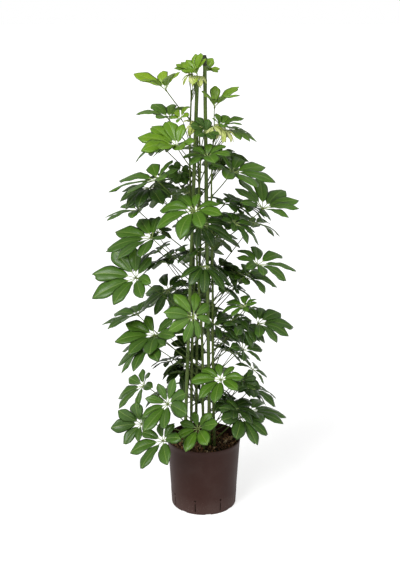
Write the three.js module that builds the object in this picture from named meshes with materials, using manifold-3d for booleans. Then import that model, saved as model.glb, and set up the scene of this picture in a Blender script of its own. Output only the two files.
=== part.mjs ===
// Potted dwarf umbrella plant (schefflera): a slotted nursery pot filled with expanded clay,
// two straight stakes and five leafy stems, each with its leaf stalks and hand-shaped leaves.
// Millimetres, +Z up, origin at the middle of the pot's foot, on the surface that it stands on.

import * as THREE from "three";
import { mergeVertices } from "three/addons/utils/BufferGeometryUtils.js";
import Module from "manifold-3d";

const wasm = await Module();
wasm.setup();

// ---- driving dimensions ----

const CLEARANCE = 0.3; // between two pieces that rest against each other

const POT_HEIGHT = 200;
const RIM_RADIUS = 105;
const FOOT_RADIUS = 93;
const WALL = 2.6;
const FLOOR_UNDERSIDE = 3; // height of the recess inside the foot ring
const FLOOR_TOP = 6;
const CENTRE_FOOT_RADIUS = 14; // a flat boss under the floor's middle, level with the foot ring
const CENTRE_FOOT_SIDES = 12;
const CENTRE_FOOT_SUNK = 1; // how far the boss reaches into the floor
const FOOT_WIDTH = 7;
const FOOT_EDGE = 1.2; // the small slope where the foot turns up into the wall
const RIM_BAND_HEIGHT = 9;
const RIM_BAND_PROUD = 0.8;
const POT_SIDES = 40;

const DRAIN_COUNT = 8;
const DRAIN_PHASE = -105; // degrees round the pot, 0 along +X
const SLOT_WIDTH = 3.2;
const SLOT_BOTTOM = 8;
const SLOT_TOP = 34;
const DRAIN_HOLE_RADIUS = 3;
const DRAIN_HOLE_SIDES = 6;
const DRAIN_HOLE_HEIGHT = 42;
const FOOT_NOTCH_WIDTH = 18;
const FOOT_NOTCH_HEIGHT = 2.4;
const CUTTER_LENGTH = 30; // reaches through the wall from well outside

const SOIL_LEVEL = 178;
const PEBBLE_RELIEF = 4; // a pebble's highest or lowest point, from the level
const SOIL_RINGS = 8;
const SOIL_SIDES = 32;
const HOLE_PLAY = 1.2; // how much wider than the stem or stake its hole in the granules is
const HOLE_SIDES = 8;
const HOLE_ABOVE = 20; // how far past the level the cut runs

const STAKE_RADIUS = 5;
const STAKE_SIDES = 12;
const STAKE_FOOT = 30;

const STEM_SIDES = 6;
const STEM_STEPS = 11;
const STEM_FOOT_RADIUS = 4.6;
const STEM_TIP_RADIUS = 1.9;

const STALK_SIDES = 3;
const STALK_STEPS = 4;
const STALK_RADIUS = 1.7;
const STALK_TIP_RADIUS = 1.3;
const STALK_DROP = 22; // a stalk leaves its stem at least this far below the leaf,
const STALK_CLIMB = 0.7; // and lower by this share of its way out,
const LOWEST_STALK = 192; // but above the granules,
const STALK_BELOW_TIP = 4; // and below the stem's tip
const STALK_BEND = { out: 0.28, up: 0.24, under: 0.22, back: 0.1 }; // shares of the stalk's span

const HUB_RADIUS = 3;
const HUB_HALF = 1.1; // half thickness of a hub's rim
const HUB_CROWN = 1.6; // half thickness at its middle
const BLADE_HALF = 1; // half thickness of a leaflet at the middle of its rib

// A leaflet's outline: shares of its length from the hub, and of half its width.
const NECK_AT = 0.2; // where its own short stalk meets the blade
const NECK_HALF = 1.2; // in millimetres
const SHOULDER_AT = 0.42;
const SHOULDER_SHARE = 0.86;
const WIDEST_AT = 0.8;
const WIDEST_SHARE = 0.94;
const TIP_ASIDE = 0.3;
const RIB_AT = 0.62; // where the blade is thickest
const WIDTH_SHARE = 0.158; // half the blade's width, as a share of the leaflet's length
const KEEL = 0.02; // how far the edges stand above the rib, as a share of the length
const WAVE = 0.03; // how far the edges wave, as a share of the length
const GRAVITY_SAG = 0.1;
const SHORTEST_SHARE = 0.6; // of the longest leaflet, for the one that points back

// How far a leaflet may differ from the rule: degrees, or shares of the value.
const SWAY = { angle: 4, lift: 5, length: 0.05, droop: 0.3, roll: 10, width: 0.08 };

// ---- where things stand ----

// A stake is straight: its foot and its top.
const STAKES = {
  stake_left: [[-60, 0, STAKE_FOOT], [-18, 0, 1202]],
  stake_right: [[19, 0, STAKE_FOOT], [1, 0, 1268]],
};

// A leaf: where its hub is, the compass angle its upper side faces (0 along +X, -90 to the
// front), how far that side is tipped from level, the length of its longest leaflet, how many
// leaflets it has, and what differs from DEFAULT_LEAF: how far the longest leaflet is turned
// from downhill, how far the leaflets rise from the hub, how much they arch over, and the
// share of the circle that they fill. Angles are degrees.
const DEFAULT_LEAF = { turn: 0, lift: 24, droop: 0.3, span: 340 };

function leaf(hub, faces, tilt, reach, leaflets, own = {}) {
  return { hub: new THREE.Vector3(...hub), faces, tilt, reach, leaflets, ...DEFAULT_LEAF, ...own };
}

const STEMS = {
  leafy_stem_left: {
    path: [
      [-36, 10, 60], [-36, 10, 180], [-34, 9, 434], [-28, 11, 640], [-29, 12, 760],
      [-36, 10, 900], [-38, 4, 1000], [-36, 0, 1100], [-33, -2, 1180],
    ],
    leaves: [
      leaf([-99, -30, 1182], -130, 23, 117, 5, { lift: 50, droop: 0.14, span: 350 }),
      leaf([-60, -38, 1109], -140, 37, 55, 5, { turn: 170, lift: 44, droop: 0.32, span: 350 }),
      leaf([-34, -40, 1104], 0, 21, 36, 5, { turn: -15, lift: 7, droop: 0.35, span: 300 }),
      leaf([-19, -53, 1225], -140, 35, 63, 8, { turn: -170, lift: 50, droop: 0.14, span: 280 }),
      leaf([-35, -34, 1222], -5, 36, 27, 5, { turn: 165, lift: 7, droop: 0.32, span: 350 }),
      leaf([-16, -11, 1215], -50, 7, 27, 5, { turn: -45, lift: 18, droop: 0.39, span: 350 }),
      leaf([-93, 20, 1102], -130, 13, 103, 7, { turn: -65, lift: 37, droop: 0.19, span: 310 }),
      leaf([-145, 10, 920], -130, 17, 99, 7, { turn: 25, lift: 18, droop: 0.32, span: 210 }),
      leaf([-179, 20, 857], -170, 25, 101, 7, { turn: -25, droop: 0.16 }),
      leaf([-128, 70, 783], -50, 33, 65, 7, { turn: 170, lift: 31, droop: 0.27, span: 280 }),
      leaf([-98, 46, 625], -125, 43, 89, 7, { turn: -90, lift: 7, droop: 0.27, span: 300 }),
      leaf([-186, 50, 550], -180, 27, 109, 8, { turn: 20, lift: 23, droop: 0.1, span: 320 }),
      leaf([-171, 30, 344], -155, 51, 101, 7, { turn: 10, lift: 33, droop: 0.26 }),
    ],
  },
  leafy_stem_middle: {
    path: [
      [-1, -28, 60], [-1, -28, 180], [-3, -24, 320], [-4, -20, 465], [-11, -17, 610],
      [-19, -16, 725], [-17, -18, 860], [-10, -18, 980], [-12, -16, 1060],
    ],
    leaves: [
      leaf([-69, -110, 1046], -110, 29, 115, 8, { turn: -60, lift: 42, droop: 0.13, span: 300 }),
      leaf([2, -53, 1072], -65, 42, 78, 6, { turn: -80, lift: 52, droop: 0.27, span: 290 }),
      leaf([7, -95, 1016], -120, 22, 99, 7, { turn: 40, lift: 39, droop: 0.28, span: 350 }),
      leaf([-122, -70, 955], -155, 25, 125, 7, { turn: -15, lift: 25, droop: 0.05, span: 350 }),
      leaf([-24, -140, 888], -120, 31, 116, 8, { turn: -20, lift: 25, droop: 0.27 }),
      leaf([-8, -95, 842], -115, 30, 87, 7, { turn: 145, lift: -5, droop: 0.42, span: 350 }),
      leaf([-138, -60, 799], -140, 24, 125, 7, { turn: -35, lift: 21, droop: 0.05, span: 270 }),
      leaf([-181, -70, 692], -120, 47, 125, 8, { turn: -65, lift: 31, droop: 0.12 }),
      leaf([-29, -150, 609], -65, 65, 89, 8, { turn: -135, lift: 17, droop: 0.29, span: 330 }),
      leaf([-134, -40, 521], -135, 34, 121, 7, { turn: 5, lift: 29, droop: 0.07, span: 300 }),
      leaf([-147, -70, 509], -165, 32, 110, 7, { turn: 20, lift: 11, droop: 0.13, span: 220 }),
      leaf([-98, -110, 347], -125, 53, 112, 8, { turn: 60, lift: 38, droop: 0.08 }),
      leaf([-176, -20, 248], -120, 71, 110, 7, { turn: -130, lift: 49, droop: 0.22, span: 350 }),
      leaf([-111, -150, 256], -135, 43, 107, 7, { turn: 10, lift: 32, droop: 0.19, span: 350 }),
      leaf([-16, -120, 278], -115, 47, 92, 7, { turn: 50, lift: 37, droop: 0.19, span: 350 }),
    ],
  },
  leafy_stem_right: {
    path: [
      [30, -10, 60], [30, -10, 180], [27, -8, 320], [25, -5, 465], [24, -2, 640],
      [22, -2, 752], [20, -6, 860], [20, -10, 960], [24, -8, 1050],
    ],
    leaves: [
      leaf([27, -24, 1138], -80, 23, 108, 5, { turn: 35, lift: 55, droop: 0.16, span: 350 }),
      leaf([41, -20, 1086], -40, 29, 78, 6, { turn: 35, lift: 53, droop: 0.27, span: 330 }),
      leaf([25, 5, 1081], -155, 22, 36, 6, { turn: 175, droop: 0.45, span: 350 }),
      leaf([68, 10, 1075], -15, 16, 73, 7, { turn: 10, lift: 14, droop: 0.2, span: 230 }),
      leaf([72, -50, 970], -35, 23, 122, 7, { turn: 20, lift: 28, droop: 0.16, span: 330 }),
      leaf([156, -30, 872], -40, 23, 125, 8, { turn: 125, lift: 28, droop: 0.05, span: 290 }),
      leaf([145, -40, 720], -35, 24, 112, 8, { turn: 65, lift: 23, droop: 0.18, span: 350 }),
      leaf([0, -62, 723], -35, 15, 85, 7, { turn: -10, lift: 0, droop: 0.34, span: 240 }),
      leaf([107, -80, 614], -155, 18, 70, 7, { turn: -75, lift: 23, droop: 0.26, span: 350 }),
      leaf([150, 2, 540], -50, 28, 105, 7, { turn: 65, lift: 31, droop: 0.26, span: 240 }),
      leaf([75, 18, 543], -75, 8, 73, 7, { turn: 25, droop: 0.28, span: 330 }),
      leaf([108, -30, 474], -25, 45, 97, 7, { turn: 155, lift: 28, droop: 0.21, span: 300 }),
      leaf([46, -110, 417], -120, 32, 96, 8, { lift: 28, droop: 0.23, span: 350 }),
      leaf([103, -62, 288], -45, 39, 102, 7, { turn: -55, lift: 25, droop: 0.17, span: 270 }),
    ],
  },
  leafy_stem_back_left: {
    path: [
      [-22, 24, 60], [-22, 24, 180], [-20, 26, 434], [-14, 22, 640], [-10, 18, 800],
      [-16, 14, 1000], [-20, 14, 1120], [-24, 14, 1195],
    ],
    leaves: [
      leaf([-32, -8, 1222], -145, 27, 61, 7, { turn: -23, lift: 60, droop: 0.19, span: 280 }),
      leaf([-65, 60, 955], -85, 64, 70, 7, { turn: -20, lift: 55, droop: 0.24, span: 300 }),
      leaf([-118, 156, 868], 140, 34, 98, 6),
      leaf([-15, 165, 700], 95, 32, 100, 6),
      leaf([-116, 148, 580], 150, 32, 96, 6),
      leaf([-35, 160, 545], 105, 36, 96, 7),
      leaf([-43, 80, 444], -85, 41, 75, 6, { turn: -35, lift: 33, droop: 0.29, span: 250 }),
      leaf([-49, 86, 383], -55, 14, 75, 7, { turn: -40, lift: -4, droop: 0.31, span: 290 }),
      leaf([-100, 110, 300], 150, 34, 96, 7),
    ],
  },
  leafy_stem_back_right: {
    path: [
      [14, 26, 60], [14, 26, 180], [14, 28, 434], [10, 22, 640], [4, 20, 800],
      [4, 17, 1000], [4, 16, 1120], [6, 16, 1205],
    ],
    leaves: [
      leaf([-1, 57, 1221], -45, 40, 84, 6, { turn: -90, lift: 60, droop: 0.22, span: 350 }),
      leaf([40, 110, 985], 70, 30, 92, 6),
      leaf([93, 50, 855], -20, 33, 72, 7, { turn: -175, lift: 31, droop: 0.2, span: 240 }),
      leaf([48, 100, 825], 60, 1, 97, 7, { turn: -45, lift: 9, span: 200 }),
      leaf([141, 135, 795], 35, 32, 96, 7),
      leaf([37, 90, 680], -20, 38, 97, 7, { turn: -20, lift: 40, droop: 0.38, span: 280 }),
      leaf([115, 60, 655], -25, 30, 100, 7, { turn: 28, lift: 30 }),
      leaf([125, 140, 540], 45, 34, 96, 7),
      leaf([142, 60, 381], -10, 38, 76, 6, { turn: 120, lift: 7, droop: 0.23, span: 330 }),
      leaf([103, 30, 356], -35, 66, 79, 7, { turn: 5, lift: 55, droop: 0.21, span: 310 }),
      leaf([20, 165, 340], 85, 36, 96, 7),
      leaf([110, 120, 320], 45, 36, 92, 7),
      leaf([134, 48, 259], 0, 17, 114, 7, { lift: 18, droop: 0.1, span: 260 }),
    ],
  },
};

// ---- small helpers ----

const UP = new THREE.Vector3(0, 0, 1);

function radians(degrees) {
  return THREE.MathUtils.degToRad(degrees);
}

// A steady number between -1 and 1 for each leaf and draw, the same on every run.
function sway(leafNumber, draw) {
  const x = Math.sin(leafNumber * 12.9898 + draw * 78.233) * 43758.5453;
  return 2 * (x - Math.floor(x)) - 1;
}

function blend(parts) {
  const sum = new THREE.Vector3();
  for (const [vector, amount] of parts) sum.addScaledVector(vector, amount);
  return sum;
}

function geometryOf(vertices, faces) {
  const flat = vertices.flatMap((v) => [v.x, v.y, v.z]);
  return new THREE.BufferGeometry()
    .setAttribute("position", new THREE.Float32BufferAttribute(flat, 3))
    .setIndex(faces.flat());
}

// A closed three.js geometry as a solid for joining and cutting.
function solid(geometry) {
  const bare = geometry.clone();
  bare.deleteAttribute("normal");
  bare.deleteAttribute("uv");
  const merged = mergeVertices(bare, 1e-4);
  const kept = [];
  const index = merged.index.array;
  for (let i = 0; i < index.length; i += 3) {
    const [a, b, c] = [index[i], index[i + 1], index[i + 2]];
    if (a !== b && b !== c && c !== a) kept.push(a, b, c);
  }
  return new wasm.Manifold(
    new wasm.Mesh({
      numProp: 3,
      vertProperties: new Float32Array(merged.attributes.position.array),
      triVerts: new Uint32Array(kept),
    }),
  );
}

function meshOf(name, body, material) {
  const { vertProperties, triVerts } = body.getMesh();
  const geometry = new THREE.BufferGeometry()
    .setAttribute("position", new THREE.BufferAttribute(new Float32Array(vertProperties), 3))
    .setIndex(new THREE.BufferAttribute(new Uint32Array(triVerts), 1));
  geometry.computeVertexNormals();
  const mesh = new THREE.Mesh(geometry, material);
  mesh.name = name;
  return mesh;
}

// A tapering round tube along a curve, closed at both ends.
function tube(curve, steps, sides, startRadius, endRadius) {
  const vertices = [];
  const faces = [];
  let side = new THREE.Vector3(1, 0, 0);
  for (let i = 0; i <= steps; i += 1) {
    const share = i / steps;
    const centre = curve.getPoint(share);
    const ahead = curve.getTangent(share);
    side = side.clone().addScaledVector(ahead, -side.dot(ahead)).normalize();
    const other = new THREE.Vector3().crossVectors(ahead, side);
    const radius = THREE.MathUtils.lerp(startRadius, endRadius, share);
    for (let k = 0; k < sides; k += 1) {
      const angle = (2 * Math.PI * k) / sides;
      vertices.push(
        blend([[centre, 1], [side, radius * Math.cos(angle)], [other, radius * Math.sin(angle)]]),
      );
    }
  }
  for (let i = 0; i < steps; i += 1) {
    for (let k = 0; k < sides; k += 1) {
      const [a, b] = [i * sides + k, i * sides + ((k + 1) % sides)];
      faces.push([a, b, b + sides], [a, b + sides, a + sides]);
    }
  }
  for (let k = 1; k < sides - 1; k += 1) {
    const last = steps * sides;
    faces.push([0, k + 1, k], [last, last + k, last + k + 1]);
  }
  return geometryOf(vertices, faces);
}

// ---- the leaves ----

// The leaf's upper side, its downhill direction, and the direction across that.
function leafFrame(it) {
  const [facing, tip] = [radians(it.faces), radians(it.tilt)];
  const upper = new THREE.Vector3(
    Math.sin(tip) * Math.cos(facing), Math.sin(tip) * Math.sin(facing), Math.cos(tip),
  );
  const downhill = new THREE.Vector3(
    Math.cos(tip) * Math.cos(facing), Math.cos(tip) * Math.sin(facing), -Math.sin(tip),
  );
  return { upper, downhill, across: new THREE.Vector3().crossVectors(upper, downhill) };
}

// Where a leaflet runs: its rib is a parabola that leaves the hub with some lift and sags.
function leafletRun(it, leafNumber, number) {
  const { upper, downhill, across } = leafFrame(it);
  const draw = (kind) => sway(leafNumber, 10 * number + kind);
  const off = (number - (it.leaflets - 1) / 2) * (it.span / it.leaflets);
  const angle = radians(it.turn + off + SWAY.angle * draw(1));
  const radial = blend([[downhill, Math.cos(angle)], [across, Math.sin(angle)]]);
  const lift = radians(it.lift + SWAY.lift * draw(2));
  const ahead = blend([[radial, Math.cos(lift)], [upper, Math.sin(lift)]]);
  const share = THREE.MathUtils.lerp(SHORTEST_SHARE, 1, Math.cos(radians(off) / 2) ** 2);
  const length = it.reach * share * (1 + SWAY.length * draw(3));
  const droop = it.droop * (1 + SWAY.droop * draw(4));
  const sag = blend([[upper, -droop], [UP, -GRAVITY_SAG]]);
  const roll = radians(SWAY.roll * draw(5));
  const side = new THREE.Vector3().crossVectors(upper, radial).applyAxisAngle(ahead, roll);
  const ribPoint = (t) => blend([[it.hub, 1], [ahead, length * t], [sag, length * t * t]]);
  const face = (t) => {
    const along = blend([[ahead, 1], [sag, 2 * t]]).normalize();
    return new THREE.Vector3().crossVectors(along, side).normalize();
  };
  return { length, side, ribPoint, face, draw };
}

// One leaf as one closed body: a small round hub and its leaflets, each a stalk that widens
// into a waved blade with an off-centre tip, thickest along the rib and thin at the edge.
function leafGeometry(it, leafNumber) {
  const { upper, downhill, across } = leafFrame(it);
  const vertices = [];
  const faces = [];
  const add = (vertex) => vertices.push(vertex) - 1;
  const ringTop = [];
  const ringBottom = [];
  const centreTop = add(blend([[it.hub, 1], [upper, HUB_CROWN]]));
  const centreBottom = add(blend([[it.hub, 1], [upper, -HUB_CROWN]]));
  for (let i = 0; i <= it.leaflets; i += 1) {
    const angle = radians(it.turn + (i - it.leaflets / 2) * (it.span / it.leaflets));
    const rim = blend([
      [it.hub, 1], [downhill, HUB_RADIUS * Math.cos(angle)], [across, HUB_RADIUS * Math.sin(angle)],
    ]);
    ringTop.push(add(blend([[rim, 1], [upper, HUB_HALF]])));
    ringBottom.push(add(blend([[rim, 1], [upper, -HUB_HALF]])));
  }
  for (let i = 0; i < it.leaflets; i += 1) {
    const { length, side, ribPoint, face, draw } = leafletRun(it, leafNumber, i);
    const place = (t, aside, raised) =>
      add(blend([[ribPoint(t), 1], [side, aside], [face(t), raised]]));
    const half = length * WIDTH_SHARE * (1 + SWAY.width * draw(6));
    const keel = KEEL * length;
    const leftEdge = keel + WAVE * length * draw(8);
    const rightEdge = keel + WAVE * length * draw(9);
    const outline = [
      place(NECK_AT, -NECK_HALF, 0),
      place(SHOULDER_AT, -SHOULDER_SHARE * half, keel),
      place(WIDEST_AT, -WIDEST_SHARE * half, leftEdge),
      place(1, TIP_ASIDE * half * draw(7), 0),
      place(WIDEST_AT, WIDEST_SHARE * half, rightEdge),
      place(SHOULDER_AT, SHOULDER_SHARE * half, keel),
      place(NECK_AT, NECK_HALF, 0),
    ];
    const ribTop = place(RIB_AT, 0, BLADE_HALF);
    const ribBottom = place(RIB_AT, 0, -BLADE_HALF);
    const loopTop = [ringTop[i], ...outline, ringTop[i + 1]];
    const loopBottom = [ringBottom[i], ...outline, ringBottom[i + 1]];
    loopTop.forEach((vertex, k) => {
      const next = (k + 1) % loopTop.length;
      faces.push([ribTop, vertex, loopTop[next]]);
      faces.push([ribBottom, loopBottom[next], loopBottom[k]]);
    });
    faces.push([ringTop[i], ringBottom[i], outline[0]]);
    faces.push([ringTop[i + 1], outline.at(-1), ringBottom[i + 1]]);
    faces.push([centreTop, ringTop[i], ringTop[i + 1]]);
    faces.push([centreBottom, ringBottom[i + 1], ringBottom[i]]);
  }
  const [lastTop, lastBottom] = [ringTop.at(-1), ringBottom.at(-1)];
  faces.push([centreTop, lastTop, ringTop[0]]);
  faces.push([centreBottom, ringBottom[0], lastBottom]);
  faces.push([ringTop[0], lastTop, lastBottom], [ringTop[0], lastBottom, ringBottom[0]]);
  return geometryOf(vertices, faces);
}

// ---- stems and leaf stalks ----

function stemCurve(stem) {
  return new THREE.CatmullRomCurve3(stem.path.map((point) => new THREE.Vector3(...point)));
}

// The point of the stem's centre line at a height.
function stemPointAt(curve, height) {
  let [low, high] = [0, 1];
  for (let i = 0; i < 30; i += 1) {
    const middle = (low + high) / 2;
    if (curve.getPoint(middle).z < height) low = middle;
    else high = middle;
  }
  return curve.getPoint(low);
}

// A leaf stalk leaves the stem below its leaf, climbs outwards and meets the hub from behind.
function stalkCurve(stem, it) {
  const middle = stem.getPoint(0.5);
  const wayOut = Math.hypot(it.hub.x - middle.x, it.hub.y - middle.y);
  const highest = stem.getPoint(1).z - STALK_BELOW_TIP;
  const wanted = it.hub.z - STALK_DROP - STALK_CLIMB * wayOut;
  const start = stemPointAt(stem, THREE.MathUtils.clamp(wanted, LOWEST_STALK, highest));
  const outwards = new THREE.Vector3(it.hub.x - start.x, it.hub.y - start.y, 0).normalize();
  const span = start.distanceTo(it.hub);
  const { out, up, under, back } = STALK_BEND;
  const leaving = blend([[start, 1], [outwards, out * span], [UP, up * span]]);
  const { upper } = leafFrame(it);
  const arriving = blend([[it.hub, 1], [upper, -under * span], [outwards, -back * span]]);
  return new THREE.CubicBezierCurve3(start, leaving, arriving, it.hub);
}

let leafCount = 0;

function leafyStem(stem) {
  const curve = stemCurve(stem);
  const pieces = [solid(tube(curve, STEM_STEPS, STEM_SIDES, STEM_FOOT_RADIUS, STEM_TIP_RADIUS))];
  for (const it of stem.leaves) {
    leafCount += 1;
    const stalk = tube(stalkCurve(curve, it), STALK_STEPS, STALK_SIDES, STALK_RADIUS, STALK_TIP_RADIUS);
    pieces.push(solid(stalk), solid(leafGeometry(it, leafCount)));
  }
  return wasm.Manifold.union(pieces);
}

// ---- pot, granules and stakes ----

function outerRadius(height) {
  return THREE.MathUtils.lerp(FOOT_RADIUS, RIM_RADIUS, height / POT_HEIGHT);
}

function innerRadius(height) {
  return outerRadius(height) - WALL - RIM_BAND_PROUD;
}

function potWall() {
  const bandFoot = POT_HEIGHT - RIM_BAND_HEIGHT;
  const profile = [
    [0, FLOOR_UNDERSIDE],
    [FOOT_RADIUS - FOOT_WIDTH, FLOOR_UNDERSIDE],
    [FOOT_RADIUS - FOOT_WIDTH, 0],
    [FOOT_RADIUS - FOOT_EDGE, 0],
    [FOOT_RADIUS, FOOT_EDGE],
    [outerRadius(bandFoot) - RIM_BAND_PROUD, bandFoot],
    [outerRadius(bandFoot), bandFoot + RIM_BAND_PROUD],
    [RIM_RADIUS, POT_HEIGHT],
    [RIM_RADIUS - WALL, POT_HEIGHT],
    [innerRadius(FLOOR_TOP), FLOOR_TOP],
    [0, FLOOR_TOP],
  ];
  const points = profile.map(([radius, height]) => new THREE.Vector2(radius, height));
  return solid(new THREE.LatheGeometry(points, POT_SIDES).rotateX(Math.PI / 2));
}

function centreFoot() {
  const height = FLOOR_UNDERSIDE + CENTRE_FOOT_SUNK;
  return solid(
    new THREE.CylinderGeometry(CENTRE_FOOT_RADIUS, CENTRE_FOOT_RADIUS, height, CENTRE_FOOT_SIDES)
      .rotateX(Math.PI / 2)
      .translate(0, 0, height / 2),
  );
}

// The wall with a round drain hole over a slot, eight times, and a notch in the foot between.
function pot() {
  let body = potWall().add(centreFoot());
  for (let i = 0; i < DRAIN_COUNT; i += 1) {
    const angle = radians(DRAIN_PHASE + (360 / DRAIN_COUNT) * i);
    const slot = new THREE.BoxGeometry(CUTTER_LENGTH, SLOT_WIDTH, SLOT_TOP - SLOT_BOTTOM)
      .translate(FOOT_RADIUS, 0, (SLOT_TOP + SLOT_BOTTOM) / 2)
      .rotateZ(angle);
    const hole = new THREE.CylinderGeometry(
      DRAIN_HOLE_RADIUS, DRAIN_HOLE_RADIUS, CUTTER_LENGTH, DRAIN_HOLE_SIDES,
    )
      .rotateZ(Math.PI / 2)
      .translate(FOOT_RADIUS, 0, DRAIN_HOLE_HEIGHT)
      .rotateZ(angle);
    const notch = new THREE.BoxGeometry(CUTTER_LENGTH, FOOT_NOTCH_WIDTH, 2 * FOOT_NOTCH_HEIGHT)
      .translate(FOOT_RADIUS, 0, 0)
      .rotateZ(angle + Math.PI / DRAIN_COUNT);
    for (const cutter of [slot, hole, notch]) body = body.subtract(solid(cutter));
  }
  return body;
}

function pointOnRing(radius, share, height) {
  const angle = 2 * Math.PI * share;
  return new THREE.Vector3(radius * Math.cos(angle), radius * Math.sin(angle), height);
}

// The clay fills the pot; its top is a relief of pebbles, higher and lower in turn.
function granuleBody() {
  const bottom = FLOOR_TOP + CLEARANCE;
  const topRadius = innerRadius(SOIL_LEVEL) - CLEARANCE;
  const vertices = [new THREE.Vector3(0, 0, SOIL_LEVEL)];
  for (let ring = 1; ring <= SOIL_RINGS; ring += 1) {
    for (let k = 0; k < SOIL_SIDES; k += 1) {
      const pebble = (ring + k) % 2 ? 1 : -1;
      const relief = ring < SOIL_RINGS ? (PEBBLE_RELIEF * (pebble + sway(ring, k))) / 2 : 0;
      vertices.push(pointOnRing((topRadius * ring) / SOIL_RINGS, k / SOIL_SIDES, SOIL_LEVEL + relief));
    }
  }
  for (let k = 0; k < SOIL_SIDES; k += 1) {
    vertices.push(pointOnRing(innerRadius(bottom) - CLEARANCE, k / SOIL_SIDES, bottom));
  }
  const centre = vertices.push(new THREE.Vector3(0, 0, bottom)) - 1;
  const faces = [];
  for (let k = 0; k < SOIL_SIDES; k += 1) {
    const next = (k + 1) % SOIL_SIDES;
    faces.push([0, 1 + k, 1 + next]);
    for (let ring = 1; ring <= SOIL_RINGS; ring += 1) {
      const [inner, outer] = [1 + (ring - 1) * SOIL_SIDES, 1 + ring * SOIL_SIDES];
      faces.push([inner + k, outer + k, outer + next], [inner + k, outer + next, inner + next]);
    }
    const lowest = 1 + SOIL_RINGS * SOIL_SIDES;
    faces.push([lowest + next, lowest + k, centre]);
  }
  return solid(geometryOf(vertices, faces));
}

// The hole that a stem or stake stands in, from just under its foot to above the granules.
function plainHole([foot, towards], radius) {
  const from = new THREE.Vector3(...foot);
  const along = new THREE.Vector3(...towards).sub(from).normalize();
  const start = blend([[from, 1], [along, -CLEARANCE]]);
  const end = blend([[start, 1], [along, (SOIL_LEVEL + HOLE_ABOVE - start.z) / along.z]]);
  const wide = radius + HOLE_PLAY;
  return solid(tube(new THREE.LineCurve3(start, end), 1, HOLE_SIDES, wide, wide));
}

function granules() {
  let body = granuleBody();
  for (const line of Object.values(STAKES)) body = body.subtract(plainHole(line, STAKE_RADIUS));
  for (const { path } of Object.values(STEMS)) body = body.subtract(plainHole(path, STEM_FOOT_RADIUS));
  return body;
}

function stake([foot, top]) {
  const line = new THREE.LineCurve3(new THREE.Vector3(...foot), new THREE.Vector3(...top));
  return solid(tube(line, 1, STAKE_SIDES, STAKE_RADIUS, STAKE_RADIUS));
}

// ---- materials and the finished group ----

const potPlastic = new THREE.MeshStandardMaterial({ color: 0x3f3130, roughness: 0.55 });
const firedClay = new THREE.MeshStandardMaterial({ color: 0x6b4330, roughness: 0.95 });
const stakePlastic = new THREE.MeshStandardMaterial({ color: 0x3c4a24, roughness: 0.5 });
const foliage = new THREE.MeshStandardMaterial({ color: 0x3d6b2c, roughness: 0.45 });

const plant = new THREE.Group();
plant.name = "potted_umbrella_plant";
plant.add(meshOf("pot", pot(), potPlastic));
plant.add(meshOf("clay_granules", granules(), firedClay));
for (const [name, line] of Object.entries(STAKES)) plant.add(meshOf(name, stake(line), stakePlastic));
for (const [name, stem] of Object.entries(STEMS)) plant.add(meshOf(name, leafyStem(stem), foliage));

export default plant;
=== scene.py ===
"""A potted dwarf umbrella plant: a slotted nursery pot filled with fired clay granules, two
stakes, and five stems with their leaf stalks and hand-shaped leaves.

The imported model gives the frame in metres, +Z up, with its origin under the middle of the pot.
Places and sizes of the plant's parts are written in millimetres, as a gardener would measure
them, and turned into metres where a mesh is made.
"""

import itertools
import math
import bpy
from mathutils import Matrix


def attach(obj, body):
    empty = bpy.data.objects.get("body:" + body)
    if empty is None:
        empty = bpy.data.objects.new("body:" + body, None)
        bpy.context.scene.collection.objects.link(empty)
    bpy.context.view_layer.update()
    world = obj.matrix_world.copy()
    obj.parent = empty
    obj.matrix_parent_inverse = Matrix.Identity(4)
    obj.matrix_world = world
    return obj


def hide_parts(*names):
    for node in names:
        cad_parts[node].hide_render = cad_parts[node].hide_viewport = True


bl_info = {
    "name": "Potted umbrella plant",
    "version": (1, 0, 0),
    "blender": (4, 5, 0),
    "location": "View3D > Sidebar > Umbrella plant",
    "description": "Builds a staked umbrella plant in its nursery pot, piece by piece",
    "category": "Add Mesh",
}

from types import SimpleNamespace

import bmesh
import bpy
from bpy.props import FloatProperty, FloatVectorProperty, IntProperty, PointerProperty
from mathutils import Quaternion, Vector

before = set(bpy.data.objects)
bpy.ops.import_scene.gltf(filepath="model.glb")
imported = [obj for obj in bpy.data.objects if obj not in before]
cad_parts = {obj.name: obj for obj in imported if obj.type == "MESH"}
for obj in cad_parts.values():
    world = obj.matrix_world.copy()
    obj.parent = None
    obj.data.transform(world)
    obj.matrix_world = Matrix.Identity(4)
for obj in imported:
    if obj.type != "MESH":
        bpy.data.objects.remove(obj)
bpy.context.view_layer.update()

MM = 0.001
UP = Vector((0, 0, 1))

# ---- where things stand, in millimetres ----

# A stake is straight: its foot and its top.
STAKES = {
    "stake_left": ((-60, 0, 30), (-18, 0, 1202)),
    "stake_right": ((19, 0, 30), (1, 0, 1268)),
}
STAKE_RADIUS = 5

# A leaf: where its hub is, the compass angle its upper side faces (0 along +X, -90 to the
# front), how far that side is tipped from level, the length of its longest leaflet, how many
# leaflets it has, and its age and shade from 0, just unfolding, to 1, old and dark. That
# number is partly the leaf's real age and partly painted shade: lower, inner and back leaves
# are given higher values so that they come out darker. The rest differs from leaf to leaf:
# how far the longest leaflet is turned from downhill, how far the leaflets rise from the hub,
# how much they arch over, and the share of the circle that they fill.


def leaf(hub, faces, tilt, reach, leaflets, age_and_shade, turn=0, lift=24, droop=0.3, span=340):
    return SimpleNamespace(
        hub=Vector(hub), faces=faces, tilt=tilt, reach=reach, leaflets=leaflets, age_and_shade=age_and_shade,
        turn=turn, lift=lift, droop=droop, span=span,
    )



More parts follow.
